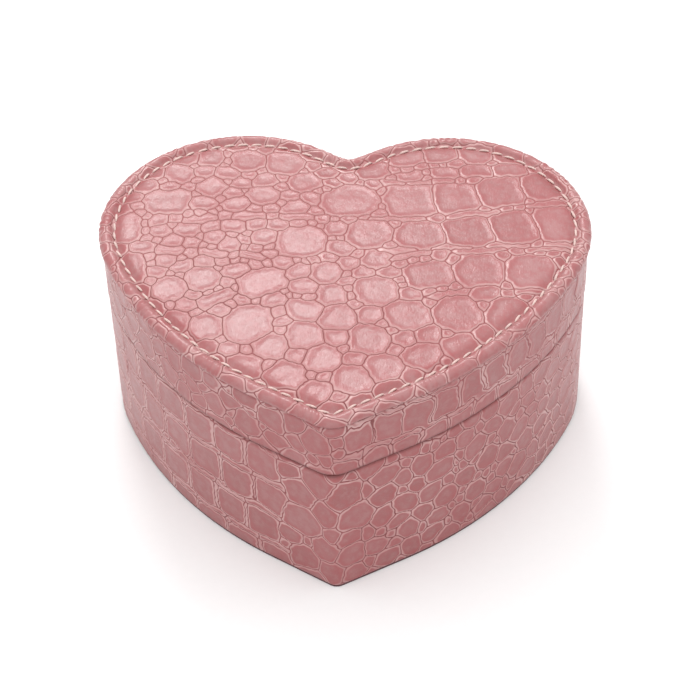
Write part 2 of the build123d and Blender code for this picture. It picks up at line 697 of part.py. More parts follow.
# ---------------------------------------------------------------- the assembly
def all_parts():
    parts = {
        "foot_felt": foot_felt(),
        "base_frame": base_frame(),
        "base_wrap": base_wrap(),
        "bottom_board": bottom_board(),
        "tray_lining": tray_lining(),
        "cross_partition": cross_partition(),
        "centre_partition": centre_partition(),
        "window_ledge": window_ledge(),
        "movement_window": movement_window(),
        "window_screws": group(window_screws()),
        "lid_frame": lid_frame(),
        "lid_skirt_wrap": lid_skirt_wrap(),
        "lid_board": lid_board(),
        "top_foam": top_foam(),
        "lid_top_cover": lid_top_cover(),
        "seam_stitches": group(seam_stitches()),
        "lid_lining": lid_lining(),
        "mirror": mirror(),
        "mirror_trim": mirror_trim(),
        "base_leaf_screws": group(leaf_screws(False)),
        "lid_leaf_screws": group(leaf_screws(True)),
        "movement_screws": group(movement_screws()),
        "bedplate": bedplate(),
        "comb": comb(),
        "comb_screws": group(comb_screws()),
        "spring_housing": spring_housing(),
        "housing_screws": group(housing_screws()),
        "mainspring": mainspring(),
        "governor_bracket": governor_bracket(),
        "governor_screws": group(governor_screws()),
        "end_plate": end_plate(),
        "stop_rod_spring": group(stop_rod_spring()),
        "winding_arbor": winding_arbor(),
        "winding_key": winding_key(),
        "drive_gear": drive_gear(),
        "clutch_spring": group(clutch_spring()),
        "music_cylinder": music_cylinder(),
        "cylinder_arbor": cylinder_arbor(),
        "cylinder_pinion": cylinder_pinion(),
        "cylinder_wheel": cylinder_wheel(),
        "middle_arbor": middle_arbor(),
        "middle_pinion": middle_pinion(),
        "worm_wheel": worm_wheel(),
        "worm_shaft": worm_shaft(),
        "governor_fan": governor_fan(),
        "stop_rod": stop_rod(),
        "stop_rod_tip": stop_rod_tip(),
    }
    for i in range(ROLLS):
        parts[f"ring_roll_{i + 1}"] = ring_roll(i)
    for side, name in ((-1, "left"), (1, "right")):
        parts[f"hinge_base_leaf_{name}"] = hinge_leaf(side, False)
        parts[f"hinge_lid_leaf_{name}"] = hinge_leaf(side, True)
        parts[f"hinge_pin_{name}"] = hinge_pin(side)
    return parts


os.makedirs("parts", exist_ok=True)
for node, part in all_parts().items():
    export_step(part, f"parts/{node}.step")
print("lobe centre y", round(LOBE_Y, 3), "hinge axis y", round(AXIS_Y, 3), "arbor", ARBOR_X, round(ARBOR_Y, 3))
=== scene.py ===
"""Looks of a heart-shaped musical jewellery box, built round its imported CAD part."""

import json
from contextlib import contextmanager
from math import atan2, cos, pi, radians, sin

import bmesh
import bpy
import numpy as np
from bpy.props import FloatProperty, FloatVectorProperty, IntProperty, PointerProperty
from mathutils import Matrix, Vector


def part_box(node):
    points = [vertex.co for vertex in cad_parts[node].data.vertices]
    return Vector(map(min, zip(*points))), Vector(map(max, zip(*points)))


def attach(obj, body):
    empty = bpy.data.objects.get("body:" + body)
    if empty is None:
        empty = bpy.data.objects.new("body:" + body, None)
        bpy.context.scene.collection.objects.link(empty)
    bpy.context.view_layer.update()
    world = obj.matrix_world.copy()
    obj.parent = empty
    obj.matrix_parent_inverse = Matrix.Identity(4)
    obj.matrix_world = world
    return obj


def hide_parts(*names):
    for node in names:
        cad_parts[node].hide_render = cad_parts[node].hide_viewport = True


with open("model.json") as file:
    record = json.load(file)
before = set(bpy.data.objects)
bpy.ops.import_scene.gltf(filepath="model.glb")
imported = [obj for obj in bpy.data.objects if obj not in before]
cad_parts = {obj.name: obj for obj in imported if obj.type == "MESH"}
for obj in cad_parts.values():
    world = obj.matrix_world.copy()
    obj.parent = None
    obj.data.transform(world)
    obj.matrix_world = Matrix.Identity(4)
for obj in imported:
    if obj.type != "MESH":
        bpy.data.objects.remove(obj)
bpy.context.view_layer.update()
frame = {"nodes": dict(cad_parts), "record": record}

bl_info = {
    "name": "Musical Jewellery Box",
    "version": (1, 0, 0),
    "blender": (4, 5, 0),
    "location": "View3D > Sidebar > Music Box",
    "description": "Leather, stitching, linings and metal of a heart-shaped music box",
    "category": "Object",
}

MM = 0.001

# ---- Heart outline in millimetres, as the CAD part has it ----
LOBE_RADIUS = 43.4
LOBE_X = 75.0 - LOBE_RADIUS
SIDE_RADIUS = 123.0
CLEFT_RADIUS = 4.0
FLANK_ANGLE = radians(122.0)
SIDE_START = radians(-23.4)
SIDE_END = radians(-59.3)
LID_TIP = 9.0
BASE_TIP = 5.0
SMALLEST_TIP = 0.8
LOBE_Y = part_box("lid_top_cover")[1].y / MM - LOBE_RADIUS

# ---- Insets from the outline ----
SKIRT_IN = 0.7
BASE_IN = 0.9
ROOM_IN = 5.8
HIDE = 1.1                        # thickness of the leather in the looks model
OUTERMOST = -0.5
REACH_RINGS = 40                  # table of the outline's reach: insets by turns
REACH_TURNS = 4000

# ---- Croc embossing ----
TONES = 6                         # groups of scales, no two neighbours in one group
CREASE_DEEP = 0.26
CREASE_WIDE = 0.62
DISH_DEEP = 0.11
CROWN_HIGH = 0.07
CELL = 0.4                        # grid for finding room between scales
NO_ROOM = 99.0
FILL_SIZES = (1.0, 0.8, 0.62, 0.48, 0.36)   # shares of the largest scale, tried in this order
FILL_STRETCH = 1.25               # length of a filling scale over its width
FILL_SMALLEST = 1.1
GATHER_DEEP = 0.11                # puckers across the bead


def top_of(node):
    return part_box(node)[1].z / MM


def foot_of(node):
    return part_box(node)[0].z / MM


# ---- outline
def arc_lengths(points):
    return np.r_[0, np.cumsum(np.linalg.norm(np.diff(points, axis=0), axis=1))]


def on_path(s, reach, points):
    """Points of a path at arc lengths s."""
    return np.stack([np.interp(s, reach, column) for column in points.T], axis=-1)


def heart_half(inset, tip_radius):
    """Right half of the outline from the tip to the cleft, as points that match from inset to inset."""
    lobe_r, side_r = LOBE_RADIUS - inset, SIDE_RADIUS - inset
    cleft_r, tip_r = CLEFT_RADIUS + inset, max(tip_radius - inset, SMALLEST_TIP)
    lobe = np.array([LOBE_X, LOBE_Y])
    side = lobe - (SIDE_RADIUS - LOBE_RADIUS) * np.array([cos(SIDE_START), sin(SIDE_START)])
    flank = np.array([cos(FLANK_ANGLE), sin(FLANK_ANGLE)])
    run = np.array([cos(SIDE_END), sin(SIDE_END)])
    flank_start = lobe + lobe_r * flank
    run_start = side + side_r * run
    cleft = np.array([0, (flank_start @ flank + cleft_r) / flank[1]])
    tip = np.array([0, (run_start @ run - tip_r) / run[1]])

    def arc(centre, radius, first, last, count):
        angle = np.linspace(first, last, count)[:, None]
        return centre + radius * np.hstack([np.cos(angle), np.sin(angle)])

    def straight(first, last, count):
        return first + (last - first) * np.linspace(0, 1, count)[:, None]

    parts = [
        arc(tip, tip_r, -pi / 2, SIDE_END, 120)[:-1],
        straight(tip + tip_r * run, run_start, 400)[:-1],
        arc(side, side_r, SIDE_END, SIDE_START, 900)[:-1],
        arc(lobe, lobe_r, SIDE_START, FLANK_ANGLE, 1300)[:-1],
        straight(flank_start, cleft - cleft_r * flank, 300)[:-1],
        arc(cleft, cleft_r, FLANK_ANGLE - pi, -pi / 2, 160),
    ]
    return np.vstack(parts)


def heart_loop(inset, tip_radius):
    """Whole outline from the cleft by the left side to the tip and by the right side back to the cleft."""
    right = heart_half(inset, tip_radius)
    return np.vstack([right[:0:-1] * [-1, 1], right])


class Outline:
    """Places on the outline by arc length s from the tip, negative on the left."""

    def __init__(self, tip_radius):
        self.tip_radius = tip_radius
        loop = heart_loop(0, tip_radius)
        self.s = arc_lengths(loop)
        self.s -= self.s[-1] / 2
        self.half = self.s[-1]
        tangent = np.gradient(loop, self.s, axis=0)
        tangent[0] = tangent[-1] = [1, 0]
        tangent /= np.linalg.norm(tangent, axis=1)[:, None]
        self.normal = np.stack([tangent[:, 1], -tangent[:, 0]], axis=1)
        self.kept = {}

    def loop(self, inset):
        key = round(float(inset), 4)
        if key not in self.kept:
            self.kept[key] = heart_loop(key, self.tip_radius)
        return self.kept[key]

    def at(self, s, inset):
        """Points at arc lengths s on the outline moved in by inset."""
        return on_path(s, self.s, self.loop(inset))

    def out(self, s):
        normal = on_path(s, self.s, self.normal)
        return normal / np.linalg.norm(normal, axis=1)[:, None]


# ---- croc embossing
def wobble(points, seed, amount, wavelength):
    """Shifts points by a few seeded waves, so that no crease is a ruled curve."""
    rng = np.random.default_rng(seed)
    moved = points.copy()
    for octave in range(5):
        angle = rng.uniform(0, 2 * pi)
        wave = 2 * pi / (wavelength * rng.uniform(0.6, 1.5))
        phase = rng.uniform(0, 2 * pi, 2)
        along = points @ np.array([cos(angle), sin(angle)]) * wave
        moved += amount * 0.5 * np.stack([np.sin(along + phase[0]), np.cos(along + phase[1])], axis=1)
    return moved


def round_box(x, y, scale):
    """Distance to the rim of a scale (x, y, half width, half height, corner, turn), negative inside."""
    cx, cy, wide, tall, corner, turn = scale
    u = np.abs((x - cx) * np.cos(turn) + (y - cy) * np.sin(turn)) - (wide - corner)
    v = np.abs((y - cy) * np.cos(turn) - (x - cx) * np.sin(turn)) - (tall - corner)
    return np.hypot(np.maximum(u, 0), np.maximum(v, 0)) + np.minimum(np.maximum(u, v), 0) - corner


def scale_rows(rows, rng):
    """Scales in bowed rows: (first, last, bow, count, first half sizes, last half sizes, roundness)."""
    found = []
    for first, last, bow, count, size, last_size, roundness in rows:
        first, last = np.array(first, float), np.array(last, float)
        ahead = last - first
        across = np.array([-ahead[1], ahead[0]]) / np.linalg.norm(ahead)
        for i in range(count):
            share = i / max(count - 1, 1)
            place = first + ahead * share + across * bow * 4 * share * (1 - share) + rng.normal(0, 0.25, 2)
            bend = bow * 4 * (1 - 2 * share) / np.linalg.norm(ahead)
            turn = atan2(ahead[1], ahead[0]) + bend + rng.normal(0, 0.04)
            wide, tall = (size[k] + (last_size[k] - size[k]) * share for k in (0, 1))
            wide, tall = wide * rng.uniform(0.94, 1.02), tall * rng.uniform(0.93, 1.03)
            found.append((*place, wide, tall, min(wide, tall) * roundness, turn))
    return found


def pack_scales(seed, rows, low, high, largest):
    """Fills an area with scales: the rows first, then ever smaller ones where they fit between them."""
    rng = np.random.default_rng(seed)
    x, y = np.meshgrid(np.arange(low[0], high[0], CELL), np.arange(low[1], high[1], CELL))
    room = np.full(x.shape, 30.0)
    kept = []

    def take(scale):
        reach = scale[2] + 16
        i0 = max(int((scale[1] - reach - low[1]) / CELL), 0)
        j0 = max(int((scale[0] - reach - low[0]) / CELL), 0)
        part = np.s_[i0:int((scale[1] + reach - low[1]) / CELL), j0:int((scale[0] + reach - low[0]) / CELL)]
        room[part] = np.minimum(room[part], round_box(x[part], y[part], scale))
        kept.append(scale)

    for scale in scale_rows(rows, rng):
        take(scale)
    limit = largest(x, y)
    ripple = rng.uniform(0, 0.5, x.shape)
    for level in FILL_SIZES:
        for _ in range(2000):
            share = level * rng.uniform(0.82, 1.12)
            tall = np.maximum(limit * share, FILL_SMALLEST)
            shift = int(limit.mean() * share * (FILL_STRETCH - 1) / CELL)
            free = np.minimum(np.roll(room, shift, 1), np.roll(room, -shift, 1)) - tall
            free[free < 0.05] = NO_ROOM
            k = np.unravel_index(np.argmin(free + ripple), free.shape)
            if free[k] == NO_ROOM:
                break
            radius = tall[k]
            take((x[k], y[k], radius + shift * CELL, radius, radius, rng.normal(0, 0.15)))
    return np.array(kept)


def tiles_of(points, size=8.0):
    """Groups of points that lie in one square tile, with the tile's corners."""
    tile = np.floor(points / size).astype(int)
    order = np.lexsort(tile.T)
    cuts = np.flatnonzero(np.any(np.diff(tile[order], axis=0), axis=1)) + 1
    for part in np.split(order, cuts):
        yield part, tile[part[0]] * size, (tile[part[0]] + 1) * size


def near_scales(scales, low, high, reach):
    """Numbers of the scales whose rim may come within reach of a tile."""
    off = np.maximum(np.maximum(low - scales[:, :2], scales[:, :2] - high), 0)
    return np.flatnonzero(np.hypot(*off.T) - np.hypot(scales[:, 2], scales[:, 3]) < reach)


def gaps_to(points, scales):
    """Distance from each point to each scale's rim, negative inside it."""
    return round_box(points[:, None, 0], points[:, None, 1], scales.T[:, None, :])


def colour_scales(scales, low, high):
    """Puts neighbouring scales in different groups, so that each group's distance is smooth at creases."""
    x, y = np.meshgrid(np.arange(low[0], high[0], 0.7), np.arange(low[1], high[1], 0.7))
    points = np.stack([x.ravel(), y.ravel()], axis=1)
    neighbours = [set() for _ in scales]
    for part, corner, far_corner in tiles_of(points):
        chosen = near_scales(scales, corner, far_corner, 6)
        if len(chosen) < 4:
            continue
        gap = gaps_to(points[part], scales[chosen])
        order = np.argpartition(gap, 3, axis=1)[:, :4]
        near = np.take_along_axis(gap, order, axis=1)
        close = near - near.min(axis=1)[:, None] < 1.8
        for row, flags in zip(chosen[order], close):
            members = row[flags]
            for a in members:
                neighbours[a].update(int(b) for b in members if b != a)
    groups = np.full(len(scales), -1)
    for i in sorted(range(len(scales)), key=lambda k: -len(neighbours[k])):
        used = [groups[j] for j in neighbours[i] if groups[j] >= 0]
        counts = [used.count(g) for g in range(TONES)]
        groups[i] = int(np.argmin(counts))
    return groups


def emboss(points, scales, groups):
    """Distance to the nearest scale of each group, and a tone that belongs to the nearest scale."""
    tones = np.random.default_rng(5).uniform(0, 1, len(scales))
    near = np.full((len(points), TONES), 30.0)
    own = np.zeros(len(points))
    for part, corner, far_corner in tiles_of(points):
        chosen = near_scales(scales, corner, far_corner, 9)
        if not len(chosen):
            continue
        gap = gaps_to(points[part], scales[chosen])
        own[part] = tones[chosen[gap.argmin(axis=1)]]
        for g in range(TONES):
            member = groups[chosen] == g
            if member.any():
                near[part, g] = gap[:, member].min(axis=1)
    return near, own


def crease_distance(near):
    """Distance to the crease in millimetres, with rounded corners where three scales meet."""
    ordered = np.sort(near, axis=1)
    second = np.maximum(ordered[:, 1] - ordered[:, 0], 1e-4)
    third = np.maximum(ordered[:, 2] - ordered[:, 0], 1e-4)
    return 0.5 / np.sqrt(second ** -2.0 + third ** -2.0)


def smooth(low, high, value):
    t = np.clip((value - low) / (high - low), 0, 1)
    return t * t * (3 - 2 * t)


def relief(gap):
    """Height of the embossing: a valley at the crease, a raised rim and a shallow dish."""
    valley = CREASE_DEEP * (1 - smooth(0, CREASE_WIDE, gap))
    return -valley - DISH_DEEP * smooth(0.75, 1.9, gap) + CROWN_HIGH * smooth(1.9, 6.0, gap)


# ---- mesh helpers
@contextmanager
def editing(mesh):
    """Opens a mesh for bmesh operators and writes it back."""
    bm = bmesh.new()
    bm.from_mesh(mesh)
    yield bm
    bm.to_mesh(mesh)
    bm.free()


def new_piece(name, mesh, material, body):
    """Makes an object from a finished mesh and lets it ride on a CAD body."""
    piece = bpy.data.objects.new(name, mesh)
    bpy.context.scene.collection.objects.link(piece)
    mesh.materials.clear()
    mesh.materials.append(material)
    mesh.shade_smooth()
    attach(piece, body)
    return piece


def grid_mesh(name, columns, rows):
    """Flat grid over the unit square."""
    mesh = bpy.data.meshes.new(name)
    with editing(mesh) as bm:
        bmesh.ops.create_grid(bm, x_segments=columns, y_segments=rows, size=0.5)
    co = np.zeros(len(mesh.vertices) * 3, np.float32)
    mesh.vertices.foreach_get("co", co)
    return mesh, co.reshape(-1, 3)[:, 0].astype(float) + 0.5, co.reshape(-1, 3)[:, 1].astype(float) + 0.5


def store_scales(mesh, near, tone, edge_shade):
    """Keeps what the leather reads: distances to the scale groups, the scale's tone, the painted seam shade
    and the dark cleft joint.
    """
    for name, columns in (("scales_a", (0, 1, 2)), ("scales_b", (3, 4, 5))):
        layer = mesh.attributes.new(name, "FLOAT_VECTOR", "POINT")
        layer.data.foreach_set("vector", np.ascontiguousarray(near[:, columns], np.float32).ravel())
    for name, values in (("scale_tone", tone), ("edge_shade", edge_shade)):
        mesh.attributes.new(name, "FLOAT", "POINT").data.foreach_set("value", values.astype(np.float32))


def set_places(mesh, places):
    mesh.vertices.foreach_set("co", np.ascontiguousarray(places, np.float32).ravel())
    mesh.update()


def extrude_rings(bm, edges, places):
    """Extrudes a closed loop of edges again and again. places gives each ring's new corner for an old one."""
    for place in places:
        found = bmesh.ops.extrude_edge_only(bm, edges=edges)["geom"]
        edges = [g for g in found if isinstance(g, bmesh.types.BMEdge)]
        for vert in [g for g in found if isinstance(g, bmesh.types.BMVert)]:
            vert.co = place(vert.co)
    return edges


# ---- materials
class Nodes:
    """Short hand for building a material's node tree."""

    def __init__(self, name):
        self.material = bpy.data.materials.new(name)
        self.material.use_nodes = True
        self.tree = self.material.node_tree
        self.shader = self.tree.nodes["Principled BSDF"]

    def add(self, kind, **values):
        node = self.tree.nodes.new(kind)
        for key, value in values.items():
            setattr(node, key, value)
        return node

    def put(self, socket, value):
        if isinstance(value, bpy.types.NodeSocket):
            self.tree.links.new(value, socket)
        elif isinstance(value, (tuple, list)) and len(value) == 3 and socket.type == "RGBA":
            socket.default_value = (*value, 1)
        else:
            socket.default_value = value

    def math(self, operation, a, b=0.0):
        node = self.add("ShaderNodeMath", operation=operation)
        self.put(node.inputs[0], a)
        self.put(node.inputs[1], b)
        return node.outputs[0]

    def step(self, value, low, high, to_low=0.0, to_high=1.0):
        """Smooth step of a value."""
        node = self.add("ShaderNodeMapRange", interpolation_type="SMOOTHSTEP")
        for i, number in enumerate((value, low, high, to_low, to_high)):
            self.put(node.inputs[i], number)
        return node.outputs[0]

    def mix(self, share, a, b, blend="MIX"):
        node = self.add("ShaderNodeMix", data_type="RGBA", blend_type=blend)
        self.put(node.inputs[0], share)
        self.put(node.inputs[6], a)
        self.put(node.inputs[7], b)
        return node.outputs[2]

    def noise(self, scale, detail=3.0, stretch=(1, 1, 1), rough=0.5):
        coordinates = self.add("ShaderNodeTexCoord").outputs["Object"]
        if stretch != (1, 1, 1):
            mapping = self.add("ShaderNodeMapping")
            self.put(mapping.inputs["Vector"], coordinates)
            mapping.inputs["Scale"].default_value = stretch
            coordinates = mapping.outputs[0]
        node = self.add("ShaderNodeTexNoise")
        self.put(node.inputs["Vector"], coordinates)
        node.inputs["Scale"].default_value = scale
        node.inputs["Detail"].default_value = detail
        node.inputs["Roughness"].default_value = rough
        return node.outputs[0]

    def bump(self, height, distance, strength=1.0, under=None):
        node = self.add("ShaderNodeBump")
        node.inputs["Strength"].default_value = strength
        node.inputs["Distance"].default_value = distance
        self.put(node.inputs["Height"], height)
        if under is not None:
            self.put(node.inputs["Normal"], under)
        return node.outputs[0]

    def set(self, **values):
        for key, value in values.items():
            self.put(self.shader.inputs[key.replace("_", " ")], value)
        return self.material


def linear(colour):
    """Screen colour from 0 to 255 as scene-linear."""
    shares = [c / 255 for c in colour]
    return tuple(s / 12.92 if s <= 0.04045 else ((s + 0.055) / 1.055) ** 2.4 for s in shares)


def crease_nodes(n):
    """Distance to the crease from the stored distances, worked out again at every point of the surface."""
    values = []
    for name in ("scales_a", "scales_b"):
        attribute = n.add("ShaderNodeAttribute", attribute_name=name)
        split = n.add("ShaderNodeSeparateXYZ")
        n.put(split.inputs[0], attribute.outputs["Vector"])
        values += list(split.outputs)
    first = n.math("MINIMUM", values[0], values[1])
    second = n.math("MAXIMUM", values[0], values[1])
    third = None
    for value in values[2:]:
        over_first = n.math("MAXIMUM", first, value)
        first = n.math("MINIMUM", first, value)
        over_second = n.math("MAXIMUM", second, over_first)
        second = n.math("MINIMUM", second, over_first)
        third = over_second if third is None else n.math("MINIMUM", third, over_second)
    gaps = []
    for value in (second, third):
        gap = n.math("MAXIMUM", n.math("SUBTRACT", value, first), 0.001)
        gaps.append(n.math("POWER", gap, -2.0))
    return n.math("MULTIPLY", n.math("POWER", n.math("ADD", gaps[0], gaps[1]), -0.5), 0.5)


def leather_material(name, settings):
    n = Nodes(name)
    field, light, deep_tone_and_shade, pale_rim_and_highlight, dark = (tuple(getattr(settings, key + "_colour"))
                                      for key in ("field", "light", "deep_tone_and_shade", "rim", "crease"))
    gap = crease_nodes(n)
    tone = n.add("ShaderNodeAttribute", attribute_name="scale_tone").outputs["Fac"]
    cloud = n.noise(60.0, 3.0)
    patch = n.noise(22.0, 2.0)
    lump = n.noise(420.0, 2.0)
    speck = n.noise(1900.0, 3.0, (1.0, 0.35, 1.0), 0.6)
    pore = n.noise(5200.0, 2.0)
    # Away from the middle of a crease: painted shade as a dark line, a paler rim with a painted highlight,
    # painted shade inside the rim, plain field. The crease's painted shade fades in patches and toward the
    # rear.
    crease = n.step(gap, 0.04, 0.15, 1.0, 0.0)
    split = n.add("ShaderNodeSeparateXYZ")
    n.put(split.inputs[0], n.add("ShaderNodeTexCoord").outputs["Object"])
    painted_crease_shade = n.math("MULTIPLY", crease, n.step(patch, 0.35, 0.65, 0.4, 0.9))
    painted_crease_shade = n.math("MULTIPLY", painted_crease_shade, n.step(split.outputs["Y"], -0.03, 0.04, 1.0, 0.35))
    # Paler rim on the raised edge of each scale: a rubbed, paler finish with a painted highlight on it.
    rim = n.math("MULTIPLY", n.step(gap, 0.09, 0.2), n.step(gap, 0.36, 0.72, 1.0, 0.0))
    rim = n.math("MULTIPLY", rim, n.step(cloud, 0.35, 0.62, 0.95, 0.5))
    # Painted shade in a saturated band just inside each rim, weaker where the bead is painted lighter.
    painted_hollow_shade = n.math("MULTIPLY", n.step(gap, 0.6, 1.8, 1.0, 0.0), n.step(tone, 1.05, 1.6, 0.52, 0.15))
    # Per-scale tone; the bead's raised tone paints it lighter.
    colour = n.mix(n.math("MULTIPLY", tone, 0.6), field, light)
    colour = n.mix(n.step(cloud, 0.35, 0.65, 0.0, 0.28), colour, deep_tone_and_shade)
    colour = n.mix(n.step(speck, 0.5, 0.72, 0.0, 0.45), colour, light)
    colour = n.mix(n.step(speck, 0.3, 0.48, 0.3, 0.0), colour, deep_tone_and_shade)
    colour = n.mix(n.step(lump, 0.42, 0.66, 0.0, 0.4), colour, deep_tone_and_shade)
    colour = n.mix(n.step(lump, 0.34, 0.5, 0.3, 0.0), colour, light)
    # Painted shade inside the rims.
    colour = n.mix(painted_hollow_shade, colour, deep_tone_and_shade)
    # Paler rim with its painted highlight.
    colour = n.mix(rim, colour, pale_rim_and_highlight)
    # Painted shade: the crease colour laid along the middle of each crease.
    colour = n.mix(painted_crease_shade, colour, dark)
    # Painted shade along the seam between lid and base and under the bead, and the dark line where the hide's
    # ends meet at the cleft.
    edge_shade = n.add("ShaderNodeAttribute", attribute_name="edge_shade").outputs["Fac"]
    colour = n.mix(n.math("MULTIPLY", edge_shade, 0.9), colour, dark)
    rough = n.math("ADD", n.step(speck, 0.3, 0.7, 0.31, 0.46), n.math("MULTIPLY", crease, 0.25))
    edge = n.math("ADD", n.step(gap, 0.0, 0.26), n.step(gap, 0.5, 1.2, 0.0, -0.35))
    coarse = n.bump(edge, 0.00016, settings.crease_strength)
    coarse = n.bump(lump, 0.00013, 0.6, coarse)
    fine = n.bump(speck, 0.00006, 0.75, coarse)
    grain = n.bump(pore, 0.00002, 0.5, fine)
    return n.set(
        Base_Color=colour, Roughness=rough, Normal=grain, Specular_IOR_Level=0.38,
        Coat_Weight=settings.gloss, Coat_Roughness=0.14, Coat_IOR=1.5, Coat_Normal=grain,
    )


def flock_material(name, colour, shade):
    """Velvet flocking: soft short fibres with a sheen."""
    n = Nodes(name)
    cloud = n.noise(45.0, 3.0)
    fibre = n.noise(2600.0, 3.0, rough=0.7)
    mixed = n.mix(n.step(cloud, 0.35, 0.65, 0.0, 0.5), colour, shade)
    mixed = n.mix(n.step(fibre, 0.4, 0.7, 0.0, 0.4), mixed, shade)
    return n.set(
        Base_Color=mixed, Roughness=0.95, Normal=n.bump(fibre, 0.00012, 0.6),
        Sheen_Weight=0.5, Sheen_Roughness=0.4, Specular_IOR_Level=0.2,
    )


def metal_material(name, colour, roughness, brushed=(1, 1, 1), wear=0.15):
    n = Nodes(name)
    scratch = n.noise(700.0, 5.0, brushed, 0.65)
    stain = n.noise(140.0, 3.0)
    dark = tuple(c * 0.72 for c in colour)
    mixed = n.mix(n.step(stain, 0.4, 0.7, 0.0, wear * 2), colour, dark)
    rough = n.step(scratch, 0.3, 0.7, roughness * 0.8, roughness * 1.35)
    return n.set(Base_Color=mixed, Roughness=rough, Metallic=1.0, Normal=n.bump(scratch, 0.00001, 0.4))


def board_material(name, colour, fleck):
    n = Nodes(name)
    grain = n.noise(500.0, 5.0, (1.0, 1.0, 0.4), 0.7)
    cloud = n.noise(50.0, 3.0)
    mixed = n.mix(n.step(grain, 0.4, 0.7), colour, fleck)
    mixed = n.mix(n.step(cloud, 0.4, 0.7, 0.0, 0.3), mixed, fleck)
    return n.set(Base_Color=mixed, Roughness=0.8, Normal=n.bump(grain, 0.0001, 0.5))


def plastic_material(name, colour, roughness):
    n = Nodes(name)
    cloud = n.noise(90.0, 2.0)
    fine = n.noise(2400.0, 2.0)
    mixed = n.mix(n.step(cloud, 0.3, 0.7, 0.0, 0.3), colour, tuple(c * 0.85 for c in colour))
    return n.set(Base_Color=mixed, Roughness=n.step(fine, 0.3, 0.7, roughness, roughness * 1.3),
                 Normal=n.bump(fine, 0.00001, 0.3))


def mirror_material(name):
    n = Nodes(name)
    haze = n.noise(30.0, 3.0)
    return n.set(Base_Color=(0.88, 0.89, 0.9), Metallic=1.0, Roughness=n.step(haze, 0.4, 0.7, 0.02, 0.05))


def clear_material(name):
    n = Nodes(name)
    haze = n.noise(60.0, 3.0)
    return n.set(Base_Color=(0.97, 0.98, 0.98), Roughness=n.step(haze, 0.4, 0.7, 0.02, 0.06), IOR=1.49,
                 Transmission_Weight=1.0)


def thread_material(name, settings):
    n = Nodes(name)
    twist = n.noise(1500.0, 2.0, (1.0, 0.5, 1.0))
    plain = tuple(settings.thread_colour)
    colour = n.mix(n.step(twist, 0.35, 0.65), plain, tuple(c * 0.8 for c in plain))
    return n.set(Base_Color=colour, Roughness=0.7, Normal=n.bump(twist, 0.00008, 0.6), Sheen_Weight=0.2)


# ---- settings
def colour_setting(name, description, *screen):
    return FloatVectorProperty(
        name=name, description=description, default=linear(screen), subtype="COLOR", size=3)


def share_setting(name, description, default):
    return FloatProperty(name=name, description=description, default=default, min=0, max=1, subtype="FACTOR")


def length_setting(name, description, size):
    return FloatProperty(name=name, description=description, default=size * MM, unit="LENGTH")


def angle_setting(name, description, degrees):
    return FloatProperty(name=name, description=description, default=radians(degrees), subtype="ANGLE")


def light_setting(name, description, default):
    return FloatProperty(name=name, description=description, default=default, min=0)


class LeatherSettings(bpy.types.PropertyGroup):
    field_colour: colour_setting("Scale", "Colour of the scales", 146, 87, 87)
    light_colour: colour_setting("Light", "Lightest tone on the scales", 164, 114, 114)
    # Saturated tone that mottles the scales, also the colour of the painted shade just inside their rims.
    deep_tone_and_shade_colour: colour_setting("Deep", "Saturated tone beside the creases", 156, 78, 80)
    # Rim: paler rubbed edge of each scale, with a painted highlight on it.
    rim_colour: colour_setting("Rim", "Pale rim of each scale", 192, 150, 148)
    # Crease: colour of the painted shade in the creases, along the seams and under the bead, and of the dark
    # line at the cleft joint.
    crease_colour: colour_setting("Crease", "Colour in the creases", 114, 54, 54)
    thread_colour: colour_setting("Thread", "Colour of the thread", 215, 186, 179)
    gloss: share_setting("Gloss", "Strength of the clear finish", 0.2)
    crease_strength: share_setting("Crease", "How sharp the creases look", 0.8)
    crown: length_setting("Crown", "How far the padded top rises in the middle", 0.9)
    top_columns: IntProperty(
        name="Top Fineness", description="Grid columns of the padded top", default=520, min=80)
    wall_step: length_setting("Wall Step", "Size of a wall's grid cells", 0.48)
    stitch_pitch: length_setting("Stitch Pitch", "Distance from stitch to stitch", 4.3)
    stitch_inset: length_setting("Stitch Inset", "Distance of the seam from the lid's edge", 4.7)
    thread_radius: length_setting("Thread", "Radius of the thread", 0.40)


class StageSettings(bpy.types.PropertyGroup):
    lens: FloatProperty(name="Lens", description="Focal length in millimetres", default=115.3, min=20)
    elevation: angle_setting("Elevation", "Camera angle above the horizon", 43.610)
    turn: angle_setting("Turn", "Camera angle round the box", 3.721)
    tilt: angle_setting("Tilt", "Camera roll", -1.678)
    eye: FloatVectorProperty(
        name="Camera", description="Place of the camera", default=(0.03442, -0.50033, 0.51333),
        subtype="XYZ", unit="LENGTH", size=3)
    zenith: light_setting("Zenith", "Strength of the light from overhead", 1.85)
    horizon: light_setting("Horizon", "Strength of the light from the sides", 0.3)
    key: light_setting("Softbox", "Power of the softbox behind the box", 6.5)
    fill: light_setting("Fill", "Power of the front light", 2.0)


def leather():
    return bpy.context.scene.music_box_leather


def leather_finish():
    return bpy.data.materials.get("glossy_croc_leather") or leather_material("glossy_croc_leather", leather())


# ---- padded top
TOP_CENTRE = np.array([0.0, 4.0])
EDGE_ZONE = 9.4                   # width of the zone with bead and seam
EDGE_SHARE = 0.17                 # part of the grid's rings that lies in that zone


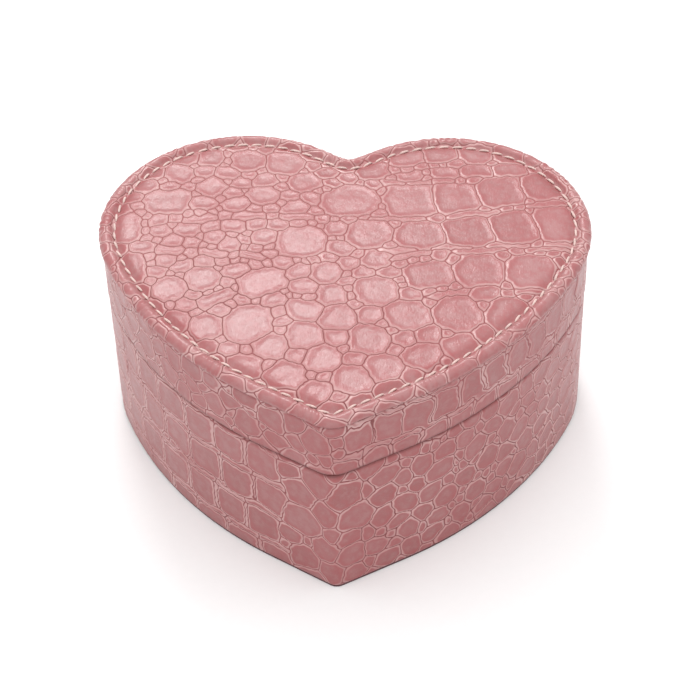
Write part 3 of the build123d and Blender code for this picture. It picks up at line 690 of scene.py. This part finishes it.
def bead_profile():
    """Section of the lid's edge as (inset, height), from the field over the seam and the bead to below it."""
    top = top_of("lid_top_cover")
    under = foot_of("lid_top_cover")
    knots = np.array([
        (EDGE_ZONE, top - 0.05), (8.0, top - 0.12), (6.6, top - 0.35), (5.6, top - 0.85), (4.8, top - 1.2),
        (4.1, top - 0.85), (3.2, top - 0.1), (2.1, top + 0.15), (1.1, top - 0.15), (0.3, top - 0.8),
        (-0.15, top - 1.7), (0.05, under + 0.55), (0.75, under + 0.12), (1.5, under + 0.03),
    ])
    reach = arc_lengths(knots)
    slope = np.gradient(knots, reach, axis=0)
    place = np.linspace(0, reach[-1], 400)
    found = np.zeros((400, 2))
    for i, r in enumerate(place):
        k = min(max(np.searchsorted(reach, r) - 1, 0), len(knots) - 2)
        span = reach[k + 1] - reach[k]
        t = (r - reach[k]) / span
        found[i] = ((2 * t**3 - 3 * t**2 + 1) * knots[k] + (t**3 - 2 * t**2 + t) * span * slope[k]
                    + (3 * t**2 - 2 * t**3) * knots[k + 1] + (t**3 - t**2) * span * slope[k + 1])
    return found


def top_scale_size(x, y):
    """Largest half height of a filling scale: larger in front, small on the left and at the rear."""
    size = np.where(y < -14, 4.6, 3.1)
    size = np.where((x < -6) & (y > -16), 2.9, size)
    return np.where((x > 6) & (y > -8), 2.2, size)


def one_scale(x, y, wide, tall, roundness):
    """Row of a single scale that lies square to the box."""
    return (x, y), (x + 1, y), 0.0, 1, (wide, tall), (wide, tall), roundness


# Rows run from the left to the right: first, last, bow, count, half sizes, last half sizes, roundness.
TOP_ROWS = (
    one_scale(1.3, 29.3, 9.5, 8.0, 1.0),
    ((20.0, 30.0), (61.0, 39.0), -1.2, 4, (7.6, 7.6), (6.6, 6.4), 0.5),
    ((7.9, 14.0), (22.9, 13.4), 0.0, 2, (6.8, 6.8), (7.2, 6.8), 0.9),
    ((37.6, 15.7), (65.0, 21.0), 0.0, 3, (6.8, 6.6), (6.4, 7.8), 0.5),
    one_scale(10.0, 2.1, 4.6, 3.8, 0.9),
    ((26.4, -4.2), (56.4, -1.0), 1.0, 3, (7.3, 5.9), (6.8, 7.6), 0.6),
    one_scale(10.9, -11.6, 6.6, 6.1, 0.8),
    ((20.0, -21.8), (50.0, -19.7), 0.8, 3, (6.4, 6.0), (6.8, 7.0), 0.7),
    ((-10.4, -20.4), (0.0, -23.2), 0.0, 2, (5.4, 4.0), (4.9, 5.2), 0.9),
    ((-9.2, -30.6), (9.3, -31.6), 0.6, 2, (5.2, 5.4), (5.8, 6.0), 0.9),
    ((-25.7, -44.0), (-13.1, -46.6), 0.0, 2, (5.4, 4.8), (5.7, 5.4), 0.9),
    ((-18.4, -34.9), (-3.1, -40.0), 0.0, 2, (5.0, 5.4), (4.8, 5.2), 0.9),
    ((-5.2, -53.4), (5.4, -48.4), 0.0, 2, (4.6, 4.8), (5.4, 5.4), 0.9),
    ((14.2, -43.2), (36.4, -34.4), 0.6, 3, (5.0, 5.0), (5.2, 5.4), 0.8),
    ((-37.9, -27.9), (-25.3, -26.4), 0.0, 2, (4.9, 5.2), (7.4, 7.8), 0.9),
    ((-50.6, -11.4), (-40.6, -6.8), 0.0, 2, (5.2, 5.4), (4.8, 4.8), 0.9),
    ((-36.0, -15.4), (-22.4, -8.2), 0.0, 2, (6.0, 2.6), (7.2, 5.4), 0.8),
    ((-4.6, -4.2), (-2.4, -13.6), 0.0, 2, (4.7, 4.8), (4.7, 4.6), 0.9),
    one_scale(-12.6, 10.0, 7.9, 7.6, 0.9),
    ((-62.5, -2.2), (-66.5, 16.0), 0.0, 2, (6.4, 4.8), (6.6, 4.4), 0.8),
    one_scale(-55.0, 28.4, 7.0, 6.0, 0.6),
    ((-26.0, 32.0), (-13.6, 38.6), 0.0, 2, (4.6, 4.4), (5.2, 4.8), 0.9),
    ((-52.7, 43.1), (-41.7, 35.9), 0.0, 2, (4.6, 4.4), (4.6, 4.4), 0.9),
    ((-43.4, 50.6), (-19.9, 48.1), 0.0, 3, (4.2, 4.8), (5.6, 5.4), 0.7),
    one_scale(7.4, 45.2, 5.2, 4.6, 0.7),
    ((17.6, 52.4), (50.4, 54.6), 1.0, 4, (5.0, 4.8), (4.8, 5.4), 0.6),
    ((19.6, 42.4), (50.4, 46.6), 0.0, 4, (4.0, 2.4), (5.4, 2.8), 0.7),
    # Long folds of the hide between the rows of large scales
    ((15.5, 21.0), (64.0, 29.6), -1.0, 3, (8.2, 0.75), (8.4, 0.75), 1.0),
    ((14.0, 39.0), (30.0, 40.2), -0.6, 3, (3.7, 0.8), (3.7, 0.8), 1.0),
    ((20.0, 4.2), (62.0, 9.0), 0.8, 3, (7.2, 0.8), (7.4, 0.8), 1.0),
    ((16.0, 6.4), (66.0, 10.8), 0.5, 4, (6.2, 0.7), (6.6, 0.7), 1.0),
    ((32.0, -12.4), (58.0, -9.6), 0.5, 2, (6.6, 0.8), (6.6, 0.8), 1.0),
    ((-44.0, 20.5), (-14.0, 21.5), 0.8, 3, (5.0, 1.4), (5.0, 1.4), 1.0),
    ((-52.0, 6.0), (-26.0, 3.0), 0.6, 3, (4.4, 1.6), (4.4, 1.6), 1.0),
)


def disc_from_square(u, v):
    """Even map of the square from -1 to 1 onto the disc, as (radius, angle)."""
    safe_u, safe_v = np.where(u == 0, 1e-9, u), np.where(v == 0, 1e-9, v)
    wide = np.abs(u) > np.abs(v)
    radius = np.where(wide, u, v)
    angle = np.where(wide, pi / 4 * v / safe_u, pi / 2 - pi / 4 * u / safe_v)
    return np.abs(radius), np.arctan2(np.sin(angle) * np.sign(radius), np.cos(angle) * np.sign(radius))


def outline_reach(inset, angle):
    """Distance from the middle of the top to the outline moved in by inset, at an angle."""
    turns = np.linspace(-pi, pi, REACH_TURNS + 1)
    reach = []
    for value in np.linspace(OUTERMOST, EDGE_ZONE, REACH_RINGS + 1):
        loop = heart_loop(value, LID_TIP) - TOP_CENTRE
        bearing = np.arctan2(loop[:, 1], loop[:, 0])
        order = np.argsort(bearing)
        reach.append(np.interp(turns, bearing[order], np.hypot(*loop[order].T), period=2 * pi))
    reach = np.array(reach)
    row = np.clip((inset - OUTERMOST) / (EDGE_ZONE - OUTERMOST) * REACH_RINGS, 0, REACH_RINGS - 0.001)
    column = (angle + pi) / (2 * pi) * REACH_TURNS
    r0, c0 = row.astype(int), np.clip(column.astype(int), 0, REACH_TURNS - 1)
    fr, fc = row - r0, column - c0
    return ((reach[r0, c0] * (1 - fc) + reach[r0, c0 + 1] * fc) * (1 - fr)
            + (reach[r0 + 1, c0] * (1 - fc) + reach[r0 + 1, c0 + 1] * fc) * fr)


class MUSICBOX_OT_padded_top(bpy.types.Operator):
    """Padded leather top with its rolled bead and the sunk seam"""

    bl_idname = "musicbox.padded_top"
    bl_label = "Padded Top"

    def execute(self, context):
        settings = leather()
        columns = settings.top_columns // 1
        mesh, u, v = grid_mesh("padded_top", columns, columns)
        share, angle = disc_from_square(2 * u - 1, 2 * v - 1)
        profile = bead_profile()
        along = np.clip((share - (1 - EDGE_SHARE)) / EDGE_SHARE, 0, 1)
        place = np.linspace(0, 1, len(profile))
        inset, z = on_path(along, place, profile).T
        inner = np.minimum(share / (1 - EDGE_SHARE), 1)
        far = outline_reach(inset, angle) * inner
        flat = TOP_CENTRE + far[:, None] * np.stack([np.cos(angle), np.sin(angle)], axis=1)
        z = z + settings.crown / MM * (1 - inner ** 2) ** 1.2
        low, high = (-78, -72), (78, 66)
        scales = pack_scales(11, TOP_ROWS, low, high, top_scale_size)
        groups = colour_scales(scales, low, high)
        outward = flat - TOP_CENTRE
        outward /= np.maximum(np.linalg.norm(outward, axis=1), 1e-6)[:, None]
        run = arc_lengths(profile)
        unrolled = np.interp(along, place, run) - (EDGE_ZONE - inset)
        hide = flat + outward * unrolled[:, None]
        near, tone = emboss(wobble(wobble(hide, 3, 0.35, 14.0), 4, 0.12, 2.6), scales, groups)
        # The bead's hide is gathered into uneven puckers; its scales are painted lighter, with weaker painted
        # shade inside their rims, to offset the shade on its downward face.
        bead = smooth(0.3, 0.42, along) * (1 - smooth(0.8, 0.9, along))
        uneven = smooth(-0.6, 0.9, np.sin(angle * 11 + 1.3))
        gathers = GATHER_DEEP * bead * (np.sin(angle * 150 + 3 * np.sin(angle * 23)) * uneven)
        depth = relief(crease_distance(near)) * (1 - 0.35 * smooth(0.25, 0.6, along)) - gathers
        # Painted lightening of the bead.
        tone = tone + bead
        slope = np.gradient(profile, place, axis=0)
        tilt = on_path(along, place, slope)
        tilt /= np.linalg.norm(tilt, axis=1)[:, None]
        tilt = np.where((along > 0)[:, None], tilt, [-1.0, 0.0])
        # A step along the profile is (inset, height); the surface looks out square to it.
        flat = flat + outward * (depth * tilt[:, 1])[:, None] * -1
        z = z - depth * tilt[:, 0]
        set_places(mesh, np.column_stack([flat, z]) * MM)
        # The last attribute is painted shade in a dark line under the bead.
        store_scales(mesh, near, tone, smooth(0.84, 0.9, along))
        under = (foot_of("lid_top_cover") + 0.02) * MM
        middle = Vector((TOP_CENTRE[0] * MM, TOP_CENTRE[1] * MM, under))
        with editing(mesh) as bm:
            edge = [e for e in bm.edges if e.is_boundary]
            ring = extrude_rings(bm, edge, [lambda co: Vector((co.x, co.y, under)).lerp(middle, 0.02)])
            bmesh.ops.triangle_fill(bm, use_beauty=False, use_dissolve=False, edges=ring)
            bmesh.ops.recalc_face_normals(bm, faces=bm.faces)
        piece = new_piece("padded_top", mesh, leather_finish(), "lid")
        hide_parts("lid_top_cover", "top_foam")
        return {"FINISHED"}


# ---- leather round the lid and the base
def nearest(loop, point):
    return int(np.argmin(np.hypot(*(loop - point).T)))


def in_outline_order(edges, loop):
    """Corners of a closed loop of edges, in the order in which they follow the outline."""
    corners = {corner for edge in edges for corner in edge.verts}
    return sorted(corners, key=lambda corner: nearest(loop, np.array(corner.co.xy) / MM))


def wall_piece(name, outline, face, back, scales, low, high, hinge_step, seed):
    """Leather wrapped round a rim: its embossed outside and the path behind it, both as (inset, z)."""
    settings = leather()
    step = settings.wall_step / MM * 1
    length = 2 * outline.half
    face = np.array(face, float)
    tall = arc_lengths(face)
    columns, rows = int(length / step), max(int(tall[-1] / step), 12)
    mesh, u, v = grid_mesh(name, columns, rows)
    s = (u - 0.5) * length
    up = v * tall[-1]
    inset, z = on_path(up, tall, face).T
    main = float(np.median(face[:, 0]))
    flat = outline.at(s, main)
    out = outline.out(s)
    groups = colour_scales(scales, low, high)
    hide = wobble(np.stack([s, z], axis=1), seed, 0.6, 13.0)
    near, tone = emboss(wobble(hide, seed + 1, 0.16, 2.6), scales, groups)
    joint = outline.half - np.abs(s)          # the hide's two ends meet at the cleft
    fade = smooth(0, 0.9, up) * smooth(0, 0.9, tall[-1] - up) * smooth(0.2, 1.5, joint)
    depth = relief(crease_distance(near)) * fade
    flat = flat + out * (depth - (inset - main))[:, None]
    set_places(mesh, np.column_stack([flat, z]) * MM)
    # Painted shade along the seam between lid and base, and a dark line where the hide's ends meet at the
    # cleft.
    rim = up if hinge_step > 0 else tall[-1] - up
    store_scales(mesh, near, tone, np.maximum(1 - smooth(0.5, 1.3, rim), 1 - smooth(0.1, 0.5, joint)))
    bm = bmesh.new()
    bm.from_mesh(mesh)
    bmesh.ops.remove_doubles(bm, verts=[w for w in bm.verts if w.is_boundary], dist=0.02 * MM)
    border = [e for e in bm.edges if e.is_boundary]
    middle = (face[0, 1] + face[-1, 1]) / 2 * MM
    loops = [[e for e in border if (e.verts[0].co.z > middle) == upper] for upper in (False, True)]
    start, finish = (1, 0) if hinge_step < 0 else (0, 1)
    loop_low = outline.loop(main)

    def to_ring(place_inset, place_z):
        ring = outline.loop(place_inset)

        def place(co):
            x, y = ring[nearest(ring_from[0], np.array([co.x, co.y]) / MM)]
            at_hinge = y > hinge_front and abs(abs(x) - LOBE_X) < hinge_half and place_z == rim_z
            return Vector((x, y, place_z + (hinge_step if at_hinge else 0))) * MM

        ring_from[1] = ring
        return place

    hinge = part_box("hinge_base_leaf_right")
    hinge_front, hinge_half = hinge[0].y / MM - 0.1, (hinge[1].x - hinge[0].x) / MM / 2 + 0.1
    rim_z = back[0][1]
    ring_from = [loop_low, None]
    edges = loops[start]
    for place_inset, place_z in back:
        edges = extrude_rings(bm, edges, [to_ring(place_inset, place_z)])
        ring_from[0] = ring_from[1]
    last = in_outline_order(edges, outline.loop(back[-1][0]))
    bmesh.ops.weld_verts(bm, targetmap=dict(zip(last, in_outline_order(loops[finish], loop_low))))
    bmesh.ops.recalc_face_normals(bm, faces=bm.faces)
    bm.to_mesh(mesh)
    bm.free()
    return mesh


def courses(first, last, pitch, heights, half_tall, roundness):
    """Rows for squarish scales laid in courses, with narrow folds of the hide between them."""
    rows = []
    count = int(abs(last - first) / pitch)
    step = pitch if last > first else -pitch
    half = pitch / 2
    for z, shift, bow in heights:
        start = first + shift
        end = start + step * (count - 1)
        fold_z = z + half_tall + 1.35
        rows.append(((start, z), (end, z), bow, count,
                     (half - 0.75, half_tall), (half - 0.65, half_tall), roundness))
        rows.append(((start + step / 2, z), (end - step / 2, z), bow, count - 1,
                     (0.28, half_tall - 0.8), (0.28, half_tall - 0.6), 1.0))
        rows.append(((start, fold_z), (end, fold_z), bow, count, (half - 0.4, 0.6), (half - 0.4, 0.6), 1.0))
    return tuple(rows)


def skirt_scale_size(s, z):
    return np.where(s > 4, 1.9, 3.9)


def base_scale_size(s, z):
    return np.where(s > 14, 3.6, np.where(s < -22, 1.6, 5.2))


class MUSICBOX_OT_lid_leather(bpy.types.Operator):
    """Leather skirt round the lid, turned in under its rim"""

    bl_idname = "musicbox.lid_leather"
    bl_label = "Lid Leather"

    def execute(self, context):
        outline = Outline(LID_TIP)
        low_z, high_z = foot_of("lid_skirt_wrap"), top_of("lid_skirt_wrap")
        face = [(SKIRT_IN + 0.5, low_z), (SKIRT_IN + 0.2, low_z + 0.15), (SKIRT_IN, low_z + 0.5),
                (SKIRT_IN, high_z - 0.9), (SKIRT_IN + 0.2, high_z - 0.35), (SKIRT_IN + 0.75, high_z - 0.05)]
        back = [(SKIRT_IN + HIDE, low_z), (ROOM_IN, low_z), (ROOM_IN, low_z + 0.8),
                (SKIRT_IN + HIDE, low_z + 0.8), (SKIRT_IN + HIDE, high_z - 0.05),
                (SKIRT_IN + 0.75, high_z - 0.05)]
        low, high = (-outline.half - 6, low_z - 8), (outline.half + 6, high_z + 8)
        rows = courses(9, 216, 9.6, ((low_z + 11.9, 0, 0.3), (low_z - 0.4, -4, 0.2)), 5.1, 0.5)
        scales = pack_scales(23, rows, low, high, skirt_scale_size)
        mesh = wall_piece("lid_leather", outline, face, back, scales, low, high, 0.15, 31)
        piece = new_piece("lid_leather", mesh, leather_finish(), "lid")
        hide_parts("lid_skirt_wrap")
        return {"FINISHED"}


class MUSICBOX_OT_base_leather(bpy.types.Operator):
    """Leather round the base, turned over its rim"""

    bl_idname = "musicbox.base_leather"
    bl_label = "Base Leather"

    def execute(self, context):
        outline = Outline(BASE_TIP)
        low_z, high_z = foot_of("base_wrap"), top_of("base_wrap")
        face = [(BASE_IN + 0.3, low_z + 0.02), (BASE_IN + 0.08, low_z + 0.15), (BASE_IN, low_z + 0.4),
                (BASE_IN, high_z - 1.4), (BASE_IN + 0.2, high_z - 0.8), (BASE_IN + 0.6, high_z - 0.4),
                (BASE_IN + 1.02, high_z)]
        back = [(BASE_IN + HIDE, high_z), (ROOM_IN, high_z), (ROOM_IN, high_z - 0.8),
                (BASE_IN + HIDE, high_z - 0.8), (BASE_IN + HIDE, low_z + 0.02), (BASE_IN + 0.3, low_z + 0.02)]
        low, high = (-outline.half - 6, low_z - 8), (outline.half + 6, high_z + 8)
        heights = (41.2, 0, 0.6), (27.6, 2, -0.5), (14.0, -1, 0.4), (0.4, 3, 0.2)
        rows = courses(-25, -216, 12.8, heights, 5.4, 0.4)
        scales = pack_scales(47, rows, low, high, base_scale_size)
        mesh = wall_piece("base_leather", outline, face, back, scales, low, high, -0.15, 53)
        piece = new_piece("base_leather", mesh, leather_finish(), "base")
        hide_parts("base_wrap")
        return {"FINISHED"}


# ---- seam
class MUSICBOX_OT_stitches(bpy.types.Operator):
    """Thread of the seam round the padded top, one short capsule for each stitch"""

    bl_idname = "musicbox.stitches"
    bl_label = "Stitches"

    def execute(self, context):
        settings = leather()
        inset = settings.stitch_inset / MM
        loop = heart_loop(inset, LID_TIP)
        reach = arc_lengths(loop)
        count = int(round(reach[-1] / (settings.stitch_pitch / MM)))
        places = (np.arange(count) + 0.5) * reach[-1] / count
        profile = bead_profile()
        k = int(np.argmin(np.abs(profile[:200, 0] - inset)))
        z = profile[k, 1] + 0.22
        rng = np.random.default_rng(7)
        bm = bmesh.new()
        for place in places:
            x, y = on_path(place, reach, loop)
            ahead = on_path(place + 0.5, reach, loop) - on_path(place - 0.5, reach, loop)
            turn = atan2(ahead[1], ahead[0]) + radians(9) + rng.normal(0, 0.05)
            found = bmesh.ops.create_uvsphere(bm, u_segments=8, v_segments=7, radius=1.0)["verts"]
            half = settings.stitch_pitch * 0.41 * rng.uniform(0.95, 1.05)
            shape = (Matrix.Translation(Vector((x, y, z)) * MM) @ Matrix.Rotation(turn, 4, "Z")
                     @ Matrix.Diagonal((half, settings.thread_radius, settings.thread_radius * 0.85, 1)))
            for vert in found:
                # Blunter ends than an ellipsoid's, like a thread that dives into its hole.
                vert.co.x, vert.co.z = vert.co.z, vert.co.x
                vert.co.x = np.sign(vert.co.x) * abs(vert.co.x) ** 0.8
                vert.co.z -= 0.9 * vert.co.x ** 4
            bmesh.ops.transform(bm, matrix=shape, verts=found)
        bmesh.ops.recalc_face_normals(bm, faces=bm.faces)
        mesh = bpy.data.meshes.new("seam_thread")
        bm.to_mesh(mesh)
        bm.free()
        piece = new_piece("seam_thread", mesh, thread_material("twisted_thread", settings), "lid")
        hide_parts("seam_stitches")
        return {"FINISHED"}


# ---- ring rolls
def soft_copy(name, node, voxel, rounds, seed):
    """Puffed copy of a CAD solid: remeshed evenly, its corners smoothed away, with shallow wrinkles."""
    source = bpy.data.objects.new("source", frame["nodes"][node].data.copy())
    bpy.context.scene.collection.objects.link(source)
    with editing(source.data) as bm:
        bmesh.ops.remove_doubles(bm, verts=bm.verts, dist=0.01 * MM)
    remesh = source.modifiers.new("even", "REMESH")
    remesh.mode = "VOXEL"
    remesh.voxel_size = voxel * MM
    mesh = bpy.data.meshes.new_from_object(source.evaluated_get(bpy.context.evaluated_depsgraph_get()))
    mesh.name = name
    bpy.data.objects.remove(source)
    rng = np.random.default_rng(seed)
    waves = [(rng.uniform(300, 800), rng.uniform(80, 200), rng.uniform(0, 2 * pi)) for _ in range(4)]
    axes = {"use_axis_x": True, "use_axis_y": True, "use_axis_z": True}
    with editing(mesh) as bm:
        for _ in range(rounds):
            bmesh.ops.smooth_vert(bm, verts=bm.verts, factor=0.5, **axes)
        bm.normal_update()
        for vert in bm.verts:
            fold = sum(sin(vert.co.x * along + vert.co.y * over + phase) for along, over, phase in waves)
            vert.co += vert.normal * (0.07 * fold - 0.1) * MM
    return mesh


class MUSICBOX_OT_ring_rolls(bpy.types.Operator):
    """Four stuffed velvet rolls that hold rings between them"""

    bl_idname = "musicbox.ring_rolls"
    bl_label = "Ring Rolls"

    def execute(self, context):
        velvet = flock_material("roll_velvet", linear((236, 214, 208)), linear((206, 172, 168)))
        for i in range(1, 5):
            mesh = soft_copy(f"velvet_roll_{i}", f"ring_roll_{i}", 0.9, 6, 60 + i)
            piece = new_piece(f"velvet_roll_{i}", mesh, velvet, "base")
            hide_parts(f"ring_roll_{i}")
        return {"FINISHED"}


# ---- finishes of the CAD parts
class MUSICBOX_OT_finishes(bpy.types.Operator):
    """Materials of the linings, boards, hinges and movement"""

    bl_idname = "musicbox.finishes"
    bl_label = "Finishes"

    def execute(self, context):
        finishes = {
            "leather": leather_finish(),
            "board": board_material("pressed_board", linear((168, 148, 122)), linear((138, 118, 94))),
            "felt": flock_material("foot_felt", linear((88, 48, 54)), linear((66, 34, 40))),
            "thread": thread_material("plain_thread", leather()),
            "lining": flock_material("flocked_lining", linear((232, 206, 200)), linear((208, 172, 166))),
            "foam": board_material("pad_foam", linear((226, 220, 200)), linear((206, 198, 176))),
            "clear_cover": clear_material("clear_acrylic"),
            "mirror": mirror_material("silvered_glass"),
            "trim": metal_material("gilt_edging", linear((214, 172, 112)), 0.25),
            "nickel": metal_material("nickel_plate", linear((206, 202, 194)), 0.16),
            "zinc": metal_material("cast_zinc", linear((168, 168, 168)), 0.42, wear=0.3),
            "steel": metal_material("ground_steel", linear((176, 176, 180)), 0.26, (1, 6, 1)),
            "brass": metal_material("turned_brass", linear((206, 168, 96)), 0.24, (6, 1, 1)),
            "plastic": plastic_material("moulded_plastic", linear((226, 220, 206)), 0.38),
        }
        slots = {part["node"]: part["material_slot"] for part in frame["record"]["subparts"]}
        for name, node in frame["nodes"].items():
            material = finishes[slots.get(name, "steel")]
            node.data.materials.clear()
            node.data.materials.append(material)
        return {"FINISHED"}


# ---- stage
class MUSICBOX_OT_stage(bpy.types.Operator):
    """Pale floor, soft studio light and the camera"""

    bl_idname = "musicbox.stage"
    bl_label = "Stage"

    def execute(self, context):
        settings = context.scene.music_box_stage
        mesh = bpy.data.meshes.new("floor")
        with editing(mesh) as bm:
            bmesh.ops.create_grid(bm, x_segments=1, y_segments=1, size=4.0)
        floor = bpy.data.objects.new("floor", mesh)
        context.scene.collection.objects.link(floor)
        n = Nodes("pale_paper")
        fibre = n.noise(400.0, 2.0)
        paper = n.mix(fibre, (0.86, 0.86, 0.86), (0.88, 0.88, 0.88))
        mesh.materials.append(n.set(Base_Color=paper, Roughness=0.9, Specular_IOR_Level=0.1))
        world = bpy.data.worlds.new("studio")
        context.scene.world = world
        world.use_nodes = True
        tree = world.node_tree
        split = tree.nodes.new("ShaderNodeSeparateXYZ")
        tree.links.new(tree.nodes.new("ShaderNodeTexCoord").outputs["Generated"], split.inputs[0])
        height = tree.nodes.new("ShaderNodeMath")
        height.operation = "ABSOLUTE"
        tree.links.new(split.outputs["Z"], height.inputs[0])
        dome = tree.nodes.new("ShaderNodeMapRange")
        tree.links.new(height.outputs[0], dome.inputs["Value"])
        tree.nodes["Background"].inputs["Color"].default_value = (1, 1, 1, 1)
        dome.inputs["To Min"].default_value = settings.horizon
        dome.inputs["To Max"].default_value = settings.zenith
        tree.links.new(dome.outputs[0], tree.nodes["Background"].inputs["Strength"])
        for name, place, aim, size, power in (
            ("softbox", (-0.22, 0.95, 1.02), (0.0, -0.02, 0.05), (0.44, 0.36), settings.key),
            ("front_fill", (-0.15, -1.4, 0.55), (0.0, 0.0, 0.03), (1.5, 0.7), settings.fill),
        ):
            light = bpy.data.lights.new(name, "AREA")
            light.shape = "RECTANGLE"
            light.size, light.size_y = size
            light.energy = power
            lamp = bpy.data.objects.new(name, light)
            lamp.location = place
            lamp.rotation_euler = (Vector(aim) - Vector(place)).to_track_quat("-Z", "Y").to_euler()
            context.scene.collection.objects.link(lamp)
        camera = bpy.data.objects.new("camera", bpy.data.cameras.new("camera"))
        camera.data.lens = settings.lens
        camera.data.sensor_width = 36.0
        camera.data.clip_start = 0.01
        level = cos(settings.elevation)
        back = Vector((
            sin(settings.turn) * level, -cos(settings.turn) * level, sin(settings.elevation)))
        right = Vector((0, 0, 1)).cross(back).normalized()
        up = back.cross(right)
        side = right * cos(settings.tilt) + up * sin(settings.tilt)
        over = up * cos(settings.tilt) - right * sin(settings.tilt)
        turned = Matrix((side, over, back)).transposed().to_4x4()
        camera.matrix_world = Matrix.Translation(settings.eye) @ turned
        context.scene.collection.objects.link(camera)
        context.scene.camera = camera
        context.scene.view_settings.view_transform = "Standard"
        return {"FINISHED"}


class MUSICBOX_PT_panel(bpy.types.Panel):
    """Lists the box's sizes, colours and building steps"""

    bl_label = "Music Box"
    bl_idname = "MUSICBOX_PT_panel"
    bl_space_type = "VIEW_3D"
    bl_region_type = "UI"
    bl_category = "Music Box"

    def draw(self, context):
        for settings in (context.scene.music_box_leather, context.scene.music_box_stage):
            box = self.layout.box()
            for name in settings.__annotations__:
                box.prop(settings, name)
        for operator in OPERATORS:
            self.layout.operator(operator.bl_idname)


OPERATORS = (
    MUSICBOX_OT_stage,
    MUSICBOX_OT_finishes,
    MUSICBOX_OT_padded_top,
    MUSICBOX_OT_lid_leather,
    MUSICBOX_OT_base_leather,
    MUSICBOX_OT_stitches,
    MUSICBOX_OT_ring_rolls,
)
CLASSES = (LeatherSettings, StageSettings, *OPERATORS, MUSICBOX_PT_panel)


def register():
    for cls in CLASSES:
        bpy.utils.register_class(cls)
    bpy.types.Scene.music_box_leather = PointerProperty(type=LeatherSettings)
    bpy.types.Scene.music_box_stage = PointerProperty(type=StageSettings)


def unregister():
    del bpy.types.Scene.music_box_stage
    del bpy.types.Scene.music_box_leather
    for cls in reversed(CLASSES):
        bpy.utils.unregister_class(cls)


def main():
    register()
    for operator in OPERATORS:
        group, name = operator.bl_idname.split(".")
        getattr(getattr(bpy.ops, group), name)()
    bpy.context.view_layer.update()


if __name__ == "__main__":
    main()
